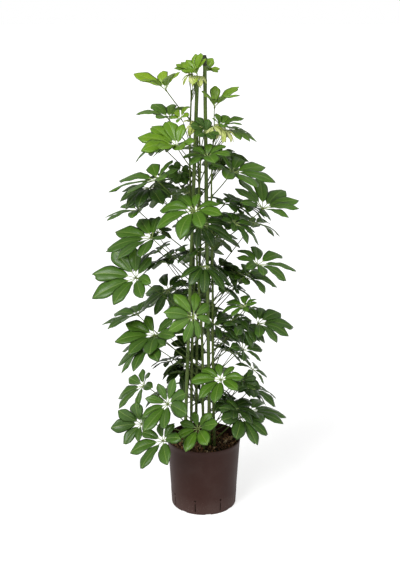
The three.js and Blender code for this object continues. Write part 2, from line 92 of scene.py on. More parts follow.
STEMS = {
    "leafy_stem_left": {
        "path": [
            (-36, 10, 60), (-36, 10, 180), (-34, 9, 434), (-28, 11, 640), (-29, 12, 760),
            (-36, 10, 900), (-38, 4, 1000), (-36, 0, 1100), (-33, -2, 1180),
        ],
        "leaves": [
            leaf((-99, -30, 1182), -130, 23, 117, 5, 0.23, lift=50, droop=0.14, span=350),
            leaf((-60, -38, 1109), -140, 37, 55, 5, 0.25, turn=170, lift=44, droop=0.32, span=350),
            leaf((-34, -40, 1104), 0, 21, 36, 5, 0.02, turn=-15, lift=7, droop=0.35, span=300),
            leaf((-19, -53, 1225), -140, 35, 63, 8, 0.24, turn=-170, lift=50, droop=0.14, span=280),
            leaf((-35, -34, 1222), -5, 36, 27, 5, 0.02, turn=165, lift=7, droop=0.32, span=350),
            leaf((-16, -11, 1215), -50, 7, 27, 5, 0.02, turn=-45, lift=18, droop=0.39, span=350),
            leaf((-93, 20, 1102), -130, 13, 103, 7, 0.43, turn=-65, lift=37, droop=0.19, span=310),
            leaf((-145, 10, 920), -130, 17, 99, 7, 0.86, turn=25, lift=18, droop=0.32, span=210),
            leaf((-179, 20, 857), -170, 25, 101, 7, 0.60, turn=-25, lift=24, droop=0.16, span=340),
            leaf((-128, 70, 783), -50, 33, 65, 7, 0.80, turn=170, lift=31, droop=0.27, span=280),
            leaf((-98, 46, 625), -125, 43, 89, 7, 0.74, turn=-90, lift=7, droop=0.27, span=300),
            leaf((-186, 50, 550), -180, 27, 109, 8, 0.67, turn=20, lift=23, droop=0.1, span=320),
            leaf((-171, 30, 344), -155, 51, 101, 7, 0.67, turn=10, lift=33, droop=0.26, span=340),
        ],
    },
    "leafy_stem_middle": {
        "path": [
            (-1, -28, 60), (-1, -28, 180), (-3, -24, 320), (-4, -20, 465), (-11, -17, 610),
            (-19, -16, 725), (-17, -18, 860), (-10, -18, 980), (-12, -16, 1060),
        ],
        "leaves": [
            leaf((-69, -110, 1046), -110, 29, 115, 8, 0.36, turn=-60, lift=42, droop=0.13, span=300),
            leaf((2, -53, 1072), -65, 42, 78, 6, 0.70, turn=-80, lift=52, droop=0.27, span=290),
            leaf((7, -95, 1016), -120, 22, 99, 7, 0.50, turn=40, lift=39, droop=0.28, span=350),
            leaf((-122, -70, 955), -155, 25, 125, 7, 0.54, turn=-15, lift=25, droop=0.05, span=350),
            leaf((-24, -140, 888), -120, 31, 116, 8, 0.50, turn=-20, lift=25, droop=0.27, span=340),
            leaf((-8, -95, 842), -115, 30, 87, 7, 0.86, turn=145, lift=-5, droop=0.42, span=350),
            leaf((-138, -60, 799), -140, 24, 125, 7, 0.62, turn=-35, lift=21, droop=0.05, span=270),
            leaf((-181, -70, 692), -120, 47, 125, 8, 0.60, turn=-65, lift=31, droop=0.12, span=340),
            leaf((-29, -150, 609), -65, 65, 89, 8, 0.50, turn=-135, lift=17, droop=0.29, span=330),
            leaf((-134, -40, 521), -135, 34, 121, 7, 0.62, turn=5, lift=29, droop=0.07, span=300),
            leaf((-147, -70, 509), -165, 32, 110, 7, 0.73, turn=20, lift=11, droop=0.13, span=220),
            leaf((-98, -110, 347), -125, 53, 112, 8, 0.63, turn=60, lift=38, droop=0.08, span=340),
            leaf((-176, -20, 248), -120, 71, 110, 7, 0.71, turn=-130, lift=49, droop=0.22, span=350),
            leaf((-111, -150, 256), -135, 43, 107, 7, 0.67, turn=10, lift=32, droop=0.19, span=350),
            leaf((-16, -120, 278), -115, 47, 92, 7, 0.52, turn=50, lift=37, droop=0.19, span=350),
        ],
    },
    "leafy_stem_right": {
        "path": [
            (30, -10, 60), (30, -10, 180), (27, -8, 320), (25, -5, 465), (24, -2, 640),
            (22, -2, 752), (20, -6, 860), (20, -10, 960), (24, -8, 1050),
        ],
        "leaves": [
            leaf((27, -24, 1138), -80, 23, 108, 5, 0.27, turn=35, lift=55, droop=0.16, span=350),
            leaf((41, -20, 1086), -40, 29, 78, 6, 0.42, turn=35, lift=53, droop=0.27, span=330),
            leaf((25, 5, 1081), -155, 22, 36, 6, 0.00, turn=175, lift=24, droop=0.45, span=350),
            leaf((68, 10, 1075), -15, 16, 73, 7, 0.46, turn=10, lift=14, droop=0.2, span=230),
            leaf((72, -50, 970), -35, 23, 122, 7, 0.54, turn=20, lift=28, droop=0.16, span=330),
            leaf((156, -30, 872), -40, 23, 125, 8, 0.52, turn=125, lift=28, droop=0.05, span=290),
            leaf((145, -40, 720), -35, 24, 112, 8, 0.62, turn=65, lift=23, droop=0.18, span=350),
            leaf((0, -62, 723), -35, 15, 85, 7, 0.86, turn=-10, lift=0, droop=0.34, span=240),
            leaf((107, -80, 614), -155, 18, 70, 7, 0.58, turn=-75, lift=23, droop=0.26, span=350),
            leaf((150, 2, 540), -50, 28, 105, 7, 0.69, turn=65, lift=31, droop=0.26, span=240),
            leaf((75, 18, 543), -75, 8, 73, 7, 0.77, turn=25, lift=24, droop=0.28, span=330),
            leaf((108, -30, 474), -25, 45, 97, 7, 0.77, turn=155, lift=28, droop=0.21, span=300),
            leaf((46, -110, 417), -120, 32, 96, 8, 0.54, lift=28, droop=0.23, span=350),
            leaf((103, -62, 288), -45, 39, 102, 7, 0.75, turn=-55, lift=25, droop=0.17, span=270),
        ],
    },
    "leafy_stem_back_left": {
        "path": [
            (-22, 24, 60), (-22, 24, 180), (-20, 26, 434), (-14, 22, 640), (-10, 18, 800),
            (-16, 14, 1000), (-20, 14, 1120), (-24, 14, 1195),
        ],
        "leaves": [
            leaf((-32, -8, 1222), -145, 27, 61, 7, 0.30, turn=-23, lift=60, droop=0.19, span=280),
            leaf((-65, 60, 955), -85, 64, 70, 7, 0.62, turn=-20, lift=55, droop=0.24, span=300),
            leaf((-118, 156, 868), 140, 34, 98, 6, 0.64),
            leaf((-15, 165, 700), 95, 32, 100, 6, 0.72),
            leaf((-116, 148, 580), 150, 32, 96, 6, 0.70),
            leaf((-35, 160, 545), 105, 36, 96, 7, 0.85),
            leaf((-43, 80, 444), -85, 41, 75, 6, 0.87, turn=-35, lift=33, droop=0.29, span=250),
            leaf((-49, 86, 383), -55, 14, 75, 7, 0.95, turn=-40, lift=-4, droop=0.31, span=290),
            leaf((-100, 110, 300), 150, 34, 96, 7, 0.81),
        ],
    },
    "leafy_stem_back_right": {
        "path": [
            (14, 26, 60), (14, 26, 180), (14, 28, 434), (10, 22, 640), (4, 20, 800),
            (4, 17, 1000), (4, 16, 1120), (6, 16, 1205),
        ],
        "leaves": [
            leaf((-1, 57, 1221), -45, 40, 84, 6, 0.24, turn=-90, lift=60, droop=0.22, span=350),
            leaf((40, 110, 985), 70, 30, 92, 6, 0.60),
            leaf((93, 50, 855), -20, 33, 72, 7, 0.54, turn=-175, lift=31, droop=0.2, span=240),
            leaf((48, 100, 825), 60, 1, 97, 7, 0.58, turn=-45, lift=9, droop=0.3, span=200),
            leaf((141, 135, 795), 35, 32, 96, 7, 0.70),
            leaf((37, 90, 680), -20, 38, 97, 7, 0.78, turn=-20, lift=40, droop=0.38, span=280),
            leaf((115, 60, 655), -25, 30, 100, 7, 0.60, turn=28, lift=30),
            leaf((125, 140, 540), 45, 34, 96, 7, 0.79),
            leaf((142, 60, 381), -10, 38, 76, 6, 0.73, turn=120, lift=7, droop=0.23, span=330),
            leaf((103, 30, 356), -35, 66, 79, 7, 0.79, turn=5, lift=55, droop=0.21, span=310),
            leaf((20, 165, 340), 85, 36, 96, 7, 0.85),
            leaf((110, 120, 320), 45, 36, 92, 7, 0.81),
            leaf((134, 48, 259), 0, 17, 114, 7, 0.65, lift=18, droop=0.1, span=260),
        ],
    },
}

# Small leaves at the tips of the stems, just unfolding, that the solids leave out.
UNFOLDING = {
    "leafy_stem_left": [
        leaf((-39, -44, 1220), -120, 30, 27, 6, 0.06, turn=10, lift=-4, droop=0.5),
        leaf((-26, -50, 1216), -80, 36, 25, 6, 0.04, turn=70, lift=-8, droop=0.5),
        leaf((-11, -46, 1215), -60, 28, 26, 6, 0.07, turn=-40, lift=0, droop=0.45),
    ],
    "leafy_stem_middle": [
        leaf((-29, -66, 1099), -110, 30, 30, 6, 0.03, turn=20, lift=-5, droop=0.42),
        leaf((-19, -70, 1094), -60, 36, 27, 5, 0.05, turn=-60, lift=-8, droop=0.4),
    ],
    "leafy_stem_right": [
        leaf((52, -10, 1075), -30, 40, 36, 7, 0.00, turn=180, lift=20, droop=0.4),
        leaf((23, -48, 1089), -120, 26, 33, 7, 0.02, turn=15, lift=4, droop=0.5),
        leaf((38, -52, 1082), -85, 34, 31, 7, 0.00, turn=80, lift=0, droop=0.5),
        leaf((54, -44, 1079), -70, 24, 34, 7, 0.04, turn=-30, lift=8, droop=0.45),
        leaf((64, -40, 1070), -45, 38, 28, 6, 0.02, turn=140, lift=-4, droop=0.45),
    ],
}

# Leaves close to a stem, among the others, that the solids leave out too. They stand evenly up
# the stem, each turned on from the last by the same angle, but only at the sides and the back.
INNER_LOWEST = 262
INNER_HIGHEST = 1010
INNER_SPACING = 66
INNER_TURN = 137.5
INNER_FIRST_SIDE = -20  # the compass angle that they start from,
INNER_SWEEP = 220  # and how much of the circle they fill
INNER_OUT = 80  # from the stem's centre line to the leaf's hub
INNER_REACH = 84
INNER_TILT = 30
INNER_LEAFLETS = 7
# Inner leaves darken towards the foot, partly as older leaves and partly as painted shade deep in the
# plant.
INNER_AGE_AND_SHADE = {"at the foot": 0.9, "at the top": 0.6}
INNER_SWAY = {"out": 0.35, "reach": 0.15, "tilt": 0.4, "turn": 60}  # shares, and degrees

# ---- the rules that leaves, stalks and stems grow by ----

# How far a leaflet may differ from the rule: degrees, or shares of the value.
SWAY = {"angle": 4, "lift": 5, "length": 0.05, "droop": 0.3, "roll": 10, "width": 0.08}
GRAVITY_SAG = 0.1  # how far each leaflet hangs by its weight, as a share of its length
SHORTEST_SHARE = 0.6  # of the longest leaflet, for the one that points back
WIDTH_SHARE = 0.19  # half a blade's width, as a share of its leaflet's length
TIP_ALLOWANCE = 1.05  # added to a blade's length, because its tip is rounded and notched
KEEL = 0.02  # how far the edges stand above the rib, as a share of the length
WAVE = 0.03  # how far the edges wave
TIP_ASIDE = 0.3  # how far the tip may lie aside, as a share of half the width
NECK_AT = 0.17  # share of a leaflet's length that is its own short stalk

STALK_DROP = 22  # a stalk leaves its stem at least this far below the leaf,
STALK_CLIMB = 0.7  # and lower by this share of its way out,
LOWEST_STALK = 192  # but above the granules,
STALK_BELOW_TIP = 4  # and below the stem's tip
STALK_BEND = {"out": 0.28, "up": 0.24, "under": 0.22, "back": 0.1}  # shares of its span


def sway(number, draw):
    """A steady number between -1 and 1 for each leaf and draw, the same on every run."""
    x = math.sin(number * 12.9898 + draw * 78.233) * 43758.5453
    return 2 * (x - math.floor(x)) - 1


def lerp(low, high, share):
    return low + (high - low) * share


def catmull_rom(points, share):
    """A point of the smooth centripetal curve through the points."""
    points = [Vector(p) for p in points]
    last = len(points) - 1
    index = min(int(share * last), last - 1)
    weight = share * last - index
    p1 = points[index]
    p2 = points[index + 1]
    p0 = points[index - 1] if index else 2 * p1 - p2
    p3 = points[index + 2] if index + 2 <= last else 2 * p2 - p1
    d0 = (p1 - p0).length ** 0.5
    d1 = (p2 - p1).length ** 0.5
    d2 = (p3 - p2).length ** 0.5
    t1 = ((p1 - p0) / d0 - (p2 - p0) / (d0 + d1) + (p2 - p1) / d1) * d1
    t2 = ((p2 - p1) / d1 - (p3 - p1) / (d1 + d2) + (p3 - p2) / d2) * d1
    c2 = 3 * (p2 - p1) - 2 * t1 - t2
    c3 = 2 * (p1 - p2) + t1 + t2
    return p1 + t1 * weight + c2 * weight**2 + c3 * weight**3


def stem_point_at(path, height):
    """The point of a stem's centre line at a height."""
    low, high = 0.0, 1.0
    for _ in range(30):
        middle = (low + high) / 2
        if catmull_rom(path, middle).z < height:
            low = middle
        else:
            high = middle
    return catmull_rom(path, low)


def compass(degrees):
    """The level direction at a compass angle."""
    angle = math.radians(degrees)
    return Vector((math.cos(angle), math.sin(angle), 0))


def leaf_frame(it):
    """The leaf's upper side, its downhill direction, and the direction across that."""
    tip = math.radians(it.tilt)
    out = compass(it.faces)
    upper = out * math.sin(tip) + UP * math.cos(tip)
    downhill = out * math.cos(tip) - UP * math.sin(tip)
    return upper, downhill, upper.cross(downhill)


def leaflet_run(it, leaf_number, number):
    """Where a leaflet runs: its rib leaves the hub with some lift, and sags."""
    upper, downhill, across = leaf_frame(it)

    def draw(kind):
        return sway(leaf_number, 10 * number + kind)

    off = (number - (it.leaflets - 1) / 2) * (it.span / it.leaflets)
    angle = math.radians(it.turn + off + SWAY["angle"] * draw(1))
    radial = downhill * math.cos(angle) + across * math.sin(angle)
    lift = math.radians(it.lift + SWAY["lift"] * draw(2))
    ahead = radial * math.cos(lift) + upper * math.sin(lift)
    share = lerp(SHORTEST_SHARE, 1, math.cos(math.radians(off) / 2) ** 2)
    length = it.reach * TIP_ALLOWANCE * share * (1 + SWAY["length"] * draw(3))
    droop = it.droop * (1 + SWAY["droop"] * draw(4))
    sag = upper * -droop - UP * GRAVITY_SAG
    roll = Quaternion(ahead, math.radians(SWAY["roll"] * draw(5)))
    half = length * WIDTH_SHARE * (1 + SWAY["width"] * draw(6))
    return {
        "hub": it.hub * MM,
        "ahead": ahead,
        "sag": sag,
        "side": roll @ upper.cross(radial),
        "size": Vector((length * MM, half * MM, TIP_ASIDE * draw(7))),
        "rims": Vector((WAVE * draw(8), WAVE * draw(9), 0)),
    }


def stalk_points(path, it, count):
    """A leaf stalk leaves the stem below its leaf, climbs outwards and meets the hub from behind."""
    middle = catmull_rom(path, 0.5)
    way_out = math.hypot(it.hub.x - middle.x, it.hub.y - middle.y)
    highest = path[-1][2] - STALK_BELOW_TIP
    wanted = it.hub.z - STALK_DROP - STALK_CLIMB * way_out
    start = stem_point_at(path, min(max(wanted, LOWEST_STALK), highest))
    outwards = Vector((it.hub.x - start.x, it.hub.y - start.y, 0)).normalized()
    span = (it.hub - start).length
    upper = leaf_frame(it)[0]
    leaving = start + outwards * STALK_BEND["out"] * span + UP * STALK_BEND["up"] * span
    arriving = it.hub - upper * STALK_BEND["under"] * span - outwards * STALK_BEND["back"] * span
    points = []
    for i in range(count + 1):
        t = i / count
        u = 1 - t
        bent = leaving * 3 * u * u * t + arriving * 3 * u * t * t
        points.append(start * u**3 + bent + it.hub * t**3)
    return points


def inner_leaves(path, first_number):
    """A stem's inner leaves with their numbers. The first number sets where the first one stands."""
    count = int((min(INNER_HIGHEST, path[-1][2]) - INNER_LOWEST) / INNER_SPACING) + 1
    lowest = INNER_LOWEST + INNER_SPACING * (0.5 + 0.5 * sway(first_number, 8))
    found = []
    for step in range(count):
        number = first_number + step
        faces = INNER_FIRST_SIDE + INNER_TURN * number % INNER_SWEEP
        out = INNER_OUT * (1 + INNER_SWAY["out"] * sway(number, 1))
        hub = stem_point_at(path, lowest + INNER_SPACING * step) + compass(faces) * out
        reach = INNER_REACH * (1 + INNER_SWAY["reach"] * sway(number, 2))
        tilt = INNER_TILT * (1 + INNER_SWAY["tilt"] * sway(number, 3))
        age_and_shade = lerp(INNER_AGE_AND_SHADE["at the foot"], INNER_AGE_AND_SHADE["at the top"], step / count)
        turn = INNER_SWAY["turn"] * sway(number, 4)
        found.append((number, leaf(hub, faces, tilt, reach, INNER_LEAFLETS, age_and_shade, turn=turn)))
    return found


# ---- node trees ----


class Value:
    """One output socket of a node tree. Arithmetic on it adds Math or Vector Math nodes."""

    def __init__(self, tree, socket):
        self.tree = tree
        self.socket = socket

    def __abs__(self):
        return self.tree.maths("ABSOLUTE", self)


def arithmetic(operation, swapped):
    """The method behind a sign such as +, for a value on the sign's left or, swapped, its right."""

    def method(self, other):
        return self.tree.maths(operation, *((other, self) if swapped else (self, other)))

    return method


SIGNS = {"add": "ADD", "sub": "SUBTRACT", "mul": "MULTIPLY", "truediv": "DIVIDE", "pow": "POWER"}
for sign, operation in SIGNS.items():
    setattr(Value, f"__{sign}__", arithmetic(operation, False))
    setattr(Value, f"__r{sign}__", arithmetic(operation, True))


class Tree:
    """A shader or geometry node tree that is built by expressions."""

    def __init__(self, data):
        self.data = data

    def node(self, kind, settings=None, values=None, output=0):
        """Adds one node: its settings first, then its sockets' values or links."""
        made = self.data.nodes.new(kind)
        for name, setting in (settings or {}).items():
            if name == "stops":
                self.stops(made.color_ramp, setting)
            else:
                setattr(made, name, setting)
        for key, value in (values or {}).items():
            self.feed(made.inputs[key], value)
        return Value(self, made.outputs[output])

    def feed(self, socket, value):
        if isinstance(value, Value):
            self.data.links.new(value.socket, socket)
        elif isinstance(value, Vector):
            socket.default_value = value[:]
        else:
            socket.default_value = value

    @staticmethod
    def stops(ramp, stops):
        while len(ramp.elements) < len(stops):
            ramp.elements.new(1)
        for element, (position, colour) in zip(ramp.elements, stops):
            element.position = position
            element.color = (*colour, 1)

    @staticmethod
    def is_vector(term):
        if isinstance(term, Value):
            return term.socket.type == "VECTOR"
        return isinstance(term, (tuple, Vector))

    def maths(self, operation, *terms):
        """A Math node, or a Vector Math node where a term is a vector."""
        if not any(self.is_vector(term) for term in terms):
            return self.node("ShaderNodeMath", {"operation": operation}, dict(enumerate(terms)))
        if operation == "MULTIPLY" and not all(self.is_vector(term) for term in terms):
            vector, number = sorted(terms, key=self.is_vector, reverse=True)
            return self.node("ShaderNodeVectorMath", {"operation": "SCALE"}, {0: vector, 3: number})
        return self.vector(operation, *terms)

    def vector(self, operation, *terms, output=0):
        values = dict(enumerate(terms))
        return self.node("ShaderNodeVectorMath", {"operation": operation}, values, output)

    def least(self, *terms):
        return self.maths("MINIMUM", *terms)

    def most(self, *terms):
        return self.maths("MAXIMUM", *terms)

    def wave(self, turns):
        return self.maths("SINE", turns * (2 * math.pi))

    def smooth(self, value, low, high):
        """0 below low and 1 above high, with a smooth step between them."""
        kinds = {"interpolation_type": "SMOOTHSTEP"}
        return self.node("ShaderNodeMapRange", kinds, {0: value, 1: low, 2: high})

    def parts(self, vector):
        """A vector's three numbers."""
        split = self.node("ShaderNodeSeparateXYZ", values={0: vector}).socket.node
        return [Value(self, socket) for socket in split.outputs]

    def colours(self, factor, *both):
        """Two colours mixed by a factor."""
        first, second = (one if isinstance(one, Value) else (*one, 1) for one in both)
        return self.node("ShaderNodeMix", {"data_type": "RGBA"}, {0: factor, 6: first, 7: second}, 2)


class Growth(Tree):
    """A geometry node tree with named inputs, that turns a seed mesh into a finished one."""

    def __init__(self, name):
        super().__init__(bpy.data.node_groups.new(name, "GeometryNodeTree"))
        self.data.interface.new_socket("Geometry", in_out="INPUT", socket_type="NodeSocketGeometry")
        self.data.interface.new_socket("Geometry", in_out="OUTPUT", socket_type="NodeSocketGeometry")
        self.entry = self.data.nodes.new("NodeGroupInput")
        self.given = {}

    @property
    def seed(self):
        return Value(self, self.entry.outputs["Geometry"])

    def input(self, name, value, kind="Float"):
        """A named input of the tree, and the value that the modifier gives it."""
        kinds = {"in_out": "INPUT", "socket_type": "NodeSocket" + kind}
        made = self.data.interface.new_socket(name, **kinds)
        self.given[made.identifier] = value
        return Value(self, self.entry.outputs[name])

    def attribute(self, name):
        kinds = {"data_type": "FLOAT_VECTOR"}
        return self.node("GeometryNodeInputNamedAttribute", kinds, {"Name": name})

    def store(self, geometry, name, value):
        values = {"Geometry": geometry, "Name": name, "Value": value}
        return self.node("GeometryNodeStoreNamedAttribute", {"data_type": "FLOAT_VECTOR"}, values)

    def instances(self, points, pattern, **values):
        """A pattern object's mesh at every point."""
        mesh = self.node("GeometryNodeObjectInfo", values={"Object": pattern}, output="Geometry")
        values |= {"Points": points, "Instance": mesh}
        placed = self.node("GeometryNodeInstanceOnPoints", values=values)
        return self.node("GeometryNodeRealizeInstances", values={0: placed})

    def finish(self, geometry, material):
        """Ends the tree: real meshes, shaded smooth, with the material on them."""
        real = self.node("GeometryNodeRealizeInstances", values={0: geometry})
        smooth = self.node("GeometryNodeSetShadeSmooth", values={0: real})
        chosen = self.input("Material", material, "Material")
        dressed = self.node("GeometryNodeSetMaterial", values={"Geometry": smooth, "Material": chosen})
        leave = self.data.nodes.new("NodeGroupOutput")
        self.feed(leave.inputs[0], dressed)

    def grow(self, name, seed_mesh):
        """The tree's result on a seed mesh, as a plain mesh object at the origin."""
        seed = link(bpy.data.objects.new(name + "_seed", seed_mesh))
        modifier = seed.modifiers.new("growth", "NODES")
        modifier.node_group = self.data
        for identifier, value in self.given.items():
            modifier[identifier] = value
        seed.update_tag()
        depsgraph = bpy.context.evaluated_depsgraph_get()
        mesh = bpy.data.meshes.new_from_object(
            seed.evaluated_get(depsgraph), preserve_all_data_layers=True, depsgraph=depsgraph,
        )
        seed.modifiers.remove(modifier)
        bpy.data.objects.remove(seed)
        mesh.name = name
        return link(bpy.data.objects.new(name, mesh))


def link(thing):
    bpy.context.scene.collection.objects.link(thing)
    return thing


def mesh_from(name, shape):
    """Turns a bmesh into a mesh, and frees it."""
    mesh = bpy.data.meshes.new(name)
    shape.to_mesh(mesh)
    shape.free()
    return mesh


def object_from(name, mesh):
    return link(bpy.data.objects.new(name, mesh))


def disc(name, radius, sides, height):
    """A flat round sheet."""
    shape = bmesh.new()
    bmesh.ops.create_circle(shape, cap_ends=True, segments=sides, radius=radius)
    bmesh.ops.translate(shape, verts=shape.verts, vec=(0, 0, height))
    return mesh_from(name, shape)


def points_mesh(name, points, edges=(), **vectors):
    """A mesh of loose points or chains that carries a list of vectors for each given name."""
    mesh = bpy.data.meshes.new(name)
    mesh.from_pydata([tuple(p) for p in points], list(edges), [])
    for key, values in vectors.items():
        flat = [number for value in values for number in value]
        mesh.attributes.new(key, "FLOAT_VECTOR", "POINT").data.foreach_set("vector", flat)
    return mesh


def finished(piece, slot, *nodes):
    """Says what a piece moves with and hides the imported parts that it stands for. The slot is not used.
    """
    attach(piece, "root")
    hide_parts(*nodes)


# ---- finishes ----


class Finish(Tree):
    """A new material's shader tree. Its shine is how much the surface mirrors."""

    def __init__(self, name, shine):
        self.material = bpy.data.materials.new(name)
        self.material.use_nodes = True
        super().__init__(self.material.node_tree)
        self.surface = self.data.nodes["Principled BSDF"]
        self.surface.inputs["Specular IOR Level"].default_value = shine
        self.place = self.node("ShaderNodeTexCoord", output=3)

    def carried(self, name):
        """The three numbers that the piece's own points carry under a name."""
        return self.parts(self.node("ShaderNodeAttribute", {"attribute_name": name}, output=1))

    def noise(self, place, scale, detail=3, roughness=0.55):
        values = {"Vector": place, "Scale": scale, "Detail": detail, "Roughness": roughness}
        return self.node("ShaderNodeTexNoise", values=values)

    def streaks(self, scale, detail=3):
        """Noise that is stretched by a scale for each axis."""
        return self.noise(self.vector("MULTIPLY", self.place, scale), 1, detail)

    def dressed(self, colour, roughness, relief=None, strength=0, depth=0):
        """Feeds the surface its colour, roughness and fine relief, and gives the material."""
        self.feed(self.surface.inputs["Base Color"], colour)
        self.feed(self.surface.inputs["Roughness"], roughness)
        if relief:
            values = {"Strength": strength, "Distance": depth, "Height": relief}
            self.feed(self.surface.inputs["Normal"], self.node("ShaderNodeBump", values=values))
        return self.material


# Colours are linear red, green and blue. A leaf's go by its age, from unfolding to old, and the darker
# stops also serve as painted shade on lower, inner and back leaves.
LEAF_AGE_AND_SHADE_STOPS = [
    (0.00, (0.46, 0.50, 0.19)),
    (0.07, (0.34, 0.41, 0.075)),
    (0.16, (0.175, 0.290, 0.010)),
    (0.32, (0.100, 0.205, 0.009)),
    (0.50, (0.058, 0.135, 0.010)),
    (0.66, (0.040, 0.096, 0.010)),
    (0.84, (0.025, 0.062, 0.007)),
    (1.00, (0.013, 0.034, 0.004)),
]
LEAF_VEIN = (0.36, 0.48, 0.12)
LEAF_MARGIN = (0.02, 0.05, 0.012)
LEAF_UNDERSIDE = (0.16, 0.24, 0.07)
STALK_GREENS = ((0.040, 0.062, 0.012), (0.13, 0.19, 0.032))  # old and fresh
STALK_STREAK = (0.075, 0.125, 0.016)
BARK = ((0.038, 0.062, 0.010), (0.085, 0.115, 0.022))
SCAR = (0.19, 0.21, 0.07)
POT_FLOW = (0.038, 0.020, 0.017)  # lines that the plastic left as it flowed
POT_SCUFF = (0.046, 0.027, 0.023)
POT_FOOT = (0.080, 0.052, 0.045)
LIME = (0.26, 0.22, 0.19)
CLAYS = [
    (0.0, (0.036, 0.022, 0.014)),
    (0.35, (0.098, 0.050, 0.026)),
    (0.65, (0.20, 0.094, 0.044)),
    (0.88, (0.30, 0.18, 0.09)),
    (1.0, (0.42, 0.31, 0.19)),
]
CLAY_PORE = (0.012, 0.008, 0.006)
CLAY_DUST = (0.26, 0.19, 0.14)
STAKE_STREAK = (0.066, 0.110, 0.020)
STAKE_WORN = (0.19, 0.21, 0.08)
STAKE_CAP = (0.022, 0.026, 0.012)
FLOOR_GREYS = ((0.48, 0.48, 0.48), (0.50, 0.50, 0.50))
FLOOR_GLOW = 0.68  # keeps the floor as white as the room


def leaf_finish(settings):
    """Waxy leaf: midrib and side veins, paler underside, pale stalk, mottling and soft gloss."""
    tree = Finish("waxy_leaf", 0.32)
    along, across, skin = tree.carried("blade")
    age_and_shade, own, _ = tree.carried("looks")
    aside = abs(across)
    blade = tree.smooth(along, NECK_AT - 0.02, NECK_AT + 0.07)
    mottle = tree.noise(tree.place, 46, 4)
    grain = tree.noise(tree.place, 900, 2)
    rows = (along * 1.25 - aside * 0.24) * settings.vein_rows
    side_vein = tree.smooth(abs(tree.maths("FRACT", rows) - 0.5), 0.40, 0.5) * blade
    side_vein = side_vein * (1 - aside * 0.6)
    rib = (1 - tree.smooth(aside, 0.02, 0.11)) * blade
    # The tone follows the leaf's age and painted shade together, so leaves given painted shade come out
    # darker.
    tone = age_and_shade + own * 0.05 + (mottle - 0.5) * 0.22
    colour = tree.node("ShaderNodeValToRGB", {"stops": LEAF_AGE_AND_SHADE_STOPS}, {0: tone})
    pale = tree.colours(0.5, colour, LEAF_VEIN)
    colour = tree.colours(side_vein * 0.22, colour, pale)
    colour = tree.colours(rib * 0.55, colour, pale)
    margin = tree.smooth(aside, 0.86, 1.0) * blade
    colour = tree.colours(margin * 0.35, colour, LEAF_MARGIN)
    under = 1 - tree.smooth(skin, -0.6, -0.1)
    colour = tree.colours(under * blade, colour, tree.colours(0.35, colour, LEAF_UNDERSIDE))
    stalk = tree.smooth(along, 0.0, NECK_AT)
    stalk = tree.colours(stalk, settings.hub_colour, settings.stalk_tip_colour)
    colour = tree.colours(blade, tree.colours(0.22, stalk, colour), colour)
    rough = settings.roughness + (mottle - 0.5) * 0.25 + under * 0.18
    relief = side_vein * -0.6 - rib * 0.7 + grain * 0.12 + mottle * 0.5
    return tree.dressed(colour, rough, relief, 0.35, 0.0008)


def stalk_finish():
    """Leaf stalks and stems: green with brown, streaked along, with pale scars round the stem."""
    tree = Finish("green_stem", 0.2)
    woody, scar, fresh = tree.carried("looks")
    streaks = tree.streaks((700, 700, 22))
    patches = tree.noise(tree.place, 38, 4)
    green = tree.colours(fresh, *STALK_GREENS)
    green = tree.colours(streaks * 0.5, green, STALK_STREAK)
    bark = tree.colours(patches, *BARK)
    colour = tree.colours(woody * tree.smooth(patches, 0.25, 0.7), green, bark)
    colour = tree.colours(scar * 0.5, colour, SCAR)
    rough = 0.5 + woody * 0.22 + (streaks - 0.5) * 0.2
    return tree.dressed(colour, rough, streaks + scar * 0.6, 0.5, 0.0005)


def pot_finish(settings):
    """Moulded dark plastic: faint flow lines, scuffs, and lime marks towards the foot."""
    tree = Finish("moulded_pot", 0.12)
    flow = tree.streaks((26, 26, 3), 4)
    cloud = tree.noise(tree.place, 14, 5, 0.6)
    grain = tree.noise(tree.place, 1500, 2)
    specks = tree.smooth(tree.noise(tree.place, 320), 0.66, 0.74)
    low = 1 - tree.smooth(tree.parts(tree.place)[2], 0.004, 0.06)
    colour = tree.colours(flow * 0.5, settings.colour, POT_FLOW)
    colour = tree.colours(tree.smooth(cloud, 0.45, 0.75) * 0.4, colour, POT_SCUFF)
    colour = tree.colours(low * cloud * 0.7, colour, POT_FOOT)
    colour = tree.colours(specks * low * 0.8, colour, LIME)
    rough = settings.roughness + (cloud - 0.5) * 0.22 + low * 0.1
    return tree.dressed(colour, rough, grain * 0.4 + flow, 0.2, 0.0006)


def clay_finish():
    """Fired clay granules: each in its own brown, dusty, with open pores."""
    tree = Finish("fired_clay_granules", 0.15)
    own = tree.carried("looks")[0]
    pores = tree.noise(tree.place, 900, 4, 0.7)
    dust = tree.noise(tree.place, 90)
    colour = tree.node("ShaderNodeValToRGB", {"stops": CLAYS}, {0: own + (dust - 0.5) * 0.35})
    colour = tree.colours(1 - tree.smooth(pores, 0.3, 0.46), colour, CLAY_PORE)
    colour = tree.colours(tree.smooth(dust, 0.55, 0.8) * 0.3, colour, CLAY_DUST)
    return tree.dressed(colour, 0.86 + (dust - 0.5) * 0.2, pores, 0.7, 0.0009)


def stake_finish(settings, cap_from):
    """Green coated stake: weathered along its length, with a dark cap above a height."""
    tree = Finish("coated_stake", 0.25)
    height = tree.parts(tree.place)[2]
    lines = tree.streaks((520, 520, 9))
    cloud = tree.noise(tree.place, 30, 4)
    colour = tree.colours(lines, settings.colour, STAKE_STREAK)
    colour = tree.colours(tree.smooth(cloud, 0.5, 0.8) * 0.5, colour, STAKE_WORN)
    colour = tree.colours(tree.smooth(height, cap_from, cap_from + 0.004), colour, STAKE_CAP)
    return tree.dressed(colour, 0.42 + (cloud - 0.5) * 0.3, lines, 0.4, 0.0004)


